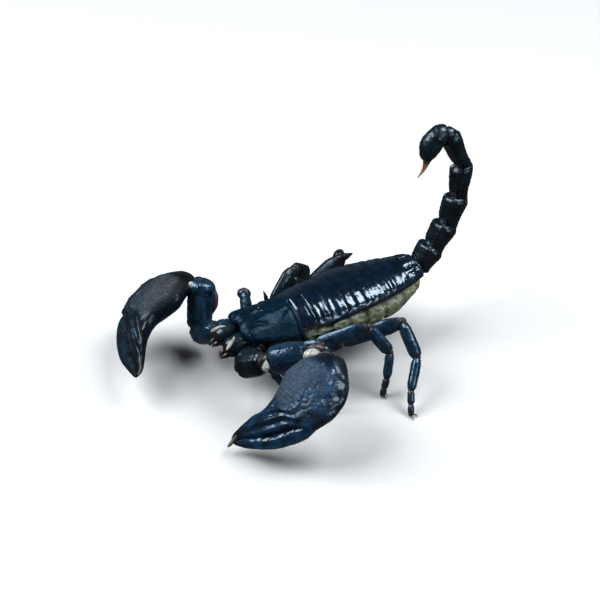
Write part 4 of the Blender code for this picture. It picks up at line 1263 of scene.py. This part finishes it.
def bristles():
    """Sparse stiff hairs on the hands, the fingers, the legs, the bulb, the tail and the jaws."""
    rng = np.random.default_rng(7)
    brush = Skins()
    clawed = (  # table, how many, from and to along the claw, from and to round it, longest, lean to the tip
        (HAND, 46, (3, 24), (-0.3, math.pi + 0.3), 1.5, 0.5),
        (MOVABLE_FINGER, 22, (18, 24), (-0.6, math.pi * 0.7), 1.4, 0.4),
    )
    for side, sign in SIDES.items():
        palm, along, out, back = hand_frame(ARMS[side])
        for table, count, stretch, arc, longest, lean in clawed:
            for _ in range(count):
                d = rng.uniform(*stretch)
                inner, outer, thick, arch = fair(table, np.array([d]))[0]
                a = rng.uniform(*arc)
                way = out * math.cos(a) + back * math.sin(a)
                lateral = (inner + outer) / 2 + (outer - inner) / 2 * math.cos(a)
                root = palm + along * d + out * lateral + back * (arch + thick * math.sin(a))
                hair(brush, root - way * 0.1, way + along * lean, rng.uniform(0.7, longest), 0.035)
        for half_width, joints in zip(LEG_HALF_WIDTHS, LEGS[side]):
            points = [vec(p) for p in joints]
            for _ in range(30):
                k = rng.integers(1, 4)
                t = rng.uniform(0.1, 0.95)
                along_leg = unit(points[k + 1] - points[k])
                way = unit(np.cross(along_leg, rng.normal(size=3)))
                size = half_width * (0.75, 0.6, 0.42)[k - 1]
                root = points[k] + (points[k + 1] - points[k]) * t + way * size * 0.9
                if root[2] > 0.6:
                    hair(brush, root, way + along_leg * 0.6, rng.uniform(0.5, 1.1), 0.03)
        for _ in range(26):
            root = vec((sign * rng.uniform(1.2, 3.6), -30.0 + rng.uniform(-1.0, 1.0),
                        13.2 + rng.uniform(-0.8, 0.6)))
            hair(brush, root, (rng.uniform(-0.3, 0.3), -1.0, -0.4), rng.uniform(0.8, 1.5), 0.03)
    spine = [vec((0, *p)) for p in TELSON_SPINE]
    for _ in range(46):
        k = rng.integers(0, 3)
        t = rng.uniform(0, 1)
        centre = spine[k] + (spine[k + 1] - spine[k]) * t
        size = TELSON_RADII[k] + (TELSON_RADII[k + 1] - TELSON_RADII[k]) * t
        along = unit(spine[k + 1] - spine[k])
        way = unit(np.cross(along, rng.normal(size=3)))
        if way[1] < 0.5 and way[2] < 0.6:
            hair(brush, centre + way * size * 0.92, way + along * 0.5, rng.uniform(0.7, 1.4), 0.032)
    for start, end, sizes in zip(TAIL_JOINTS, TAIL_JOINTS[1:], TAIL_HALF_SIZES):
        start, end = vec((0, *start)), vec((0, *end))
        along = unit(end - start)
        for _ in range(12):
            way = unit(np.cross(along, rng.normal(size=3)))
            root = start + (end - start) * rng.uniform(0.2, 0.85) + way * min(sizes) * 0.92
            hair(brush, root, way + along * 0.3, rng.uniform(0.6, 1.1), 0.03)
    brush.cast("bristles", FINISH["bristle"], "limb_cuticle")


# Floor, light and camera.


def studio():
    """A plain pale floor, softboxes behind, in front and at the side, a wide fill, and a dim room."""
    size = 3.0
    floor_mesh = bpy.data.meshes.new("floor")
    corners = [(-size, -size, 0), (size, -size, 0), (size, size, 0), (-size, size, 0)]
    floor_mesh.from_pydata(corners, [], [(0, 1, 2, 3)])
    paper, tree, shader, where = start_finish("matt_white_paper")
    fibre = add(tree, "ShaderNodeTexNoise", {"Scale": per_mm(10 / 9), "Detail": 2.0}, {"Vector": where})
    tone = add(tree, "ShaderNodeMix", {"data_type": "RGBA", 6: paint("CFCDCC"), 7: paint("D3D1D0")},
               {0: fibre.outputs["Fac"]})
    tree.links.new(tone.outputs[2], shader.inputs["Base Color"])
    shader.inputs["Roughness"].default_value = 0.9
    shader.inputs["Specular IOR Level"].default_value = 0.1
    floor_mesh.materials.append(paper)
    floor = bpy.data.objects.new("floor", floor_mesh)
    bpy.context.scene.collection.objects.link(floor)
    floor.visible_glossy = False

    centre = Vector((0.0, 0.0, 0.016))
    cool, warm = (0.90, 0.96, 1.0), (1.0, 0.985, 0.96)
    # Name, direction, the way its long side runs, distance, length and width in metres, power in watts,
    # colour, and whether the cuticle mirrors it.
    lights = (
        ("key_softbox", (0.18, 0.51, 0.84), (-0.29, 0.18, -0.05), 0.55, 0.27, 0.32, 3.1, cool, True),
        ("front_softbox", (-0.36, -0.54, 0.75), (1.0, 0.0, 0.4), 0.60, 0.46, 0.34, 4.6, cool, True),
        ("side_softbox", (0.84, 0.40, 0.38), (0.0, 1.0, 0.0), 0.60, 0.24, 0.14, 0.7, cool, True),
        ("wide_softbox", (-0.45, -0.05, 0.90), (1.0, 0.0, 0.0), 0.9, 0.40, 0.40, 1.5, warm, False),
    )
    for name, way, run, distance, width, height, power, colour, mirrored in lights:
        lamp = bpy.data.lights.new(name, "AREA")
        lamp.shape = "RECTANGLE"
        lamp.size, lamp.size_y = width, height
        lamp.energy = power
        lamp.color = colour
        held = bpy.data.objects.new(name, lamp)
        way = Vector(way).normalized()
        across = way.cross(Vector(run)).normalized()
        held.location = centre + way * distance
        held.rotation_euler = Matrix((across.cross(way), across, way)).transposed().to_euler()
        held.visible_glossy = mirrored
        bpy.context.scene.collection.objects.link(held)

    # The room is dim at eye height and darker overhead and below, as a studio with its ceiling lights off.
    world = bpy.data.worlds.new("dim_room")
    world.use_nodes = True
    room = world.node_tree
    room.nodes.clear()
    way = add(room, "ShaderNodeTexCoord").outputs["Generated"]
    height = add(room, "ShaderNodeSeparateXYZ", {}, {0: way}).outputs["Z"]
    level = add(room, "ShaderNodeMapRange", {"From Min": -1.0, "From Max": 1.0}, {"Value": height}).outputs[0]
    shade = add(room, "ShaderNodeValToRGB", {}, {0: level})
    below, overhead = shade.color_ramp.elements
    below.position, below.color = 0.42, (0.05, 0.055, 0.06, 1)
    overhead.position, overhead.color = 0.78, (0.02, 0.023, 0.027, 1)
    shade.color_ramp.elements.new(0.54).color = (0.10, 0.11, 0.12, 1)
    wall = add(room, "ShaderNodeBackground", {"Strength": 1.0}, {"Color": shade.outputs[0]})
    add(room, "ShaderNodeOutputWorld", {}, {"Surface": wall.outputs[0]})
    bpy.context.scene.world = world
    bpy.context.scene.view_settings.view_transform = "Standard"


def camera():
    """The photograph's view: from the front left and above, with a long lens."""
    azimuth, elevation = math.radians(60), math.radians(36)
    distance, target_height = 420, 16.0  # mm
    photo_side, pixels_per_mm, framing_shift = 600, 4.0, -28  # pixels
    target = Vector((-BOX_MIDDLE[0], -BOX_MIDDLE[1], target_height)) * MM
    back = Vector((math.sin(azimuth) * math.cos(elevation), -math.cos(azimuth) * math.cos(elevation),
                   math.sin(elevation)))
    lens = bpy.data.cameras.new("camera")
    lens.sensor_width = 36.0
    lens.lens = lens.sensor_width * pixels_per_mm * distance / photo_side
    lens.shift_x = framing_shift / photo_side
    lens.clip_start, lens.clip_end = 0.01, 20.0
    held = bpy.data.objects.new("camera", lens)
    held.location = target + back * distance * MM
    right = Vector((math.cos(azimuth), math.sin(azimuth), 0))
    held.rotation_euler = Matrix((right, back.cross(right), back)).transposed().to_euler()
    bpy.context.scene.collection.objects.link(held)
    bpy.context.scene.camera = held


studio()
camera()
carapace()
eyes()
edge = CARAPACE_REAR
for number, length in enumerate(TERGITE_LENGTHS, start=1):
    tergite(number, edge, edge + length)
    edge += length
flank_skin()
belly_plates()
leg_bases()
combs()
jaws()
for side in SIDES:
    arm(side)
    hand(side)
    movable_finger(side)
    for number in (1, 2, 3, 4):
        leg(side, number)
tail()
telson()
bristles()
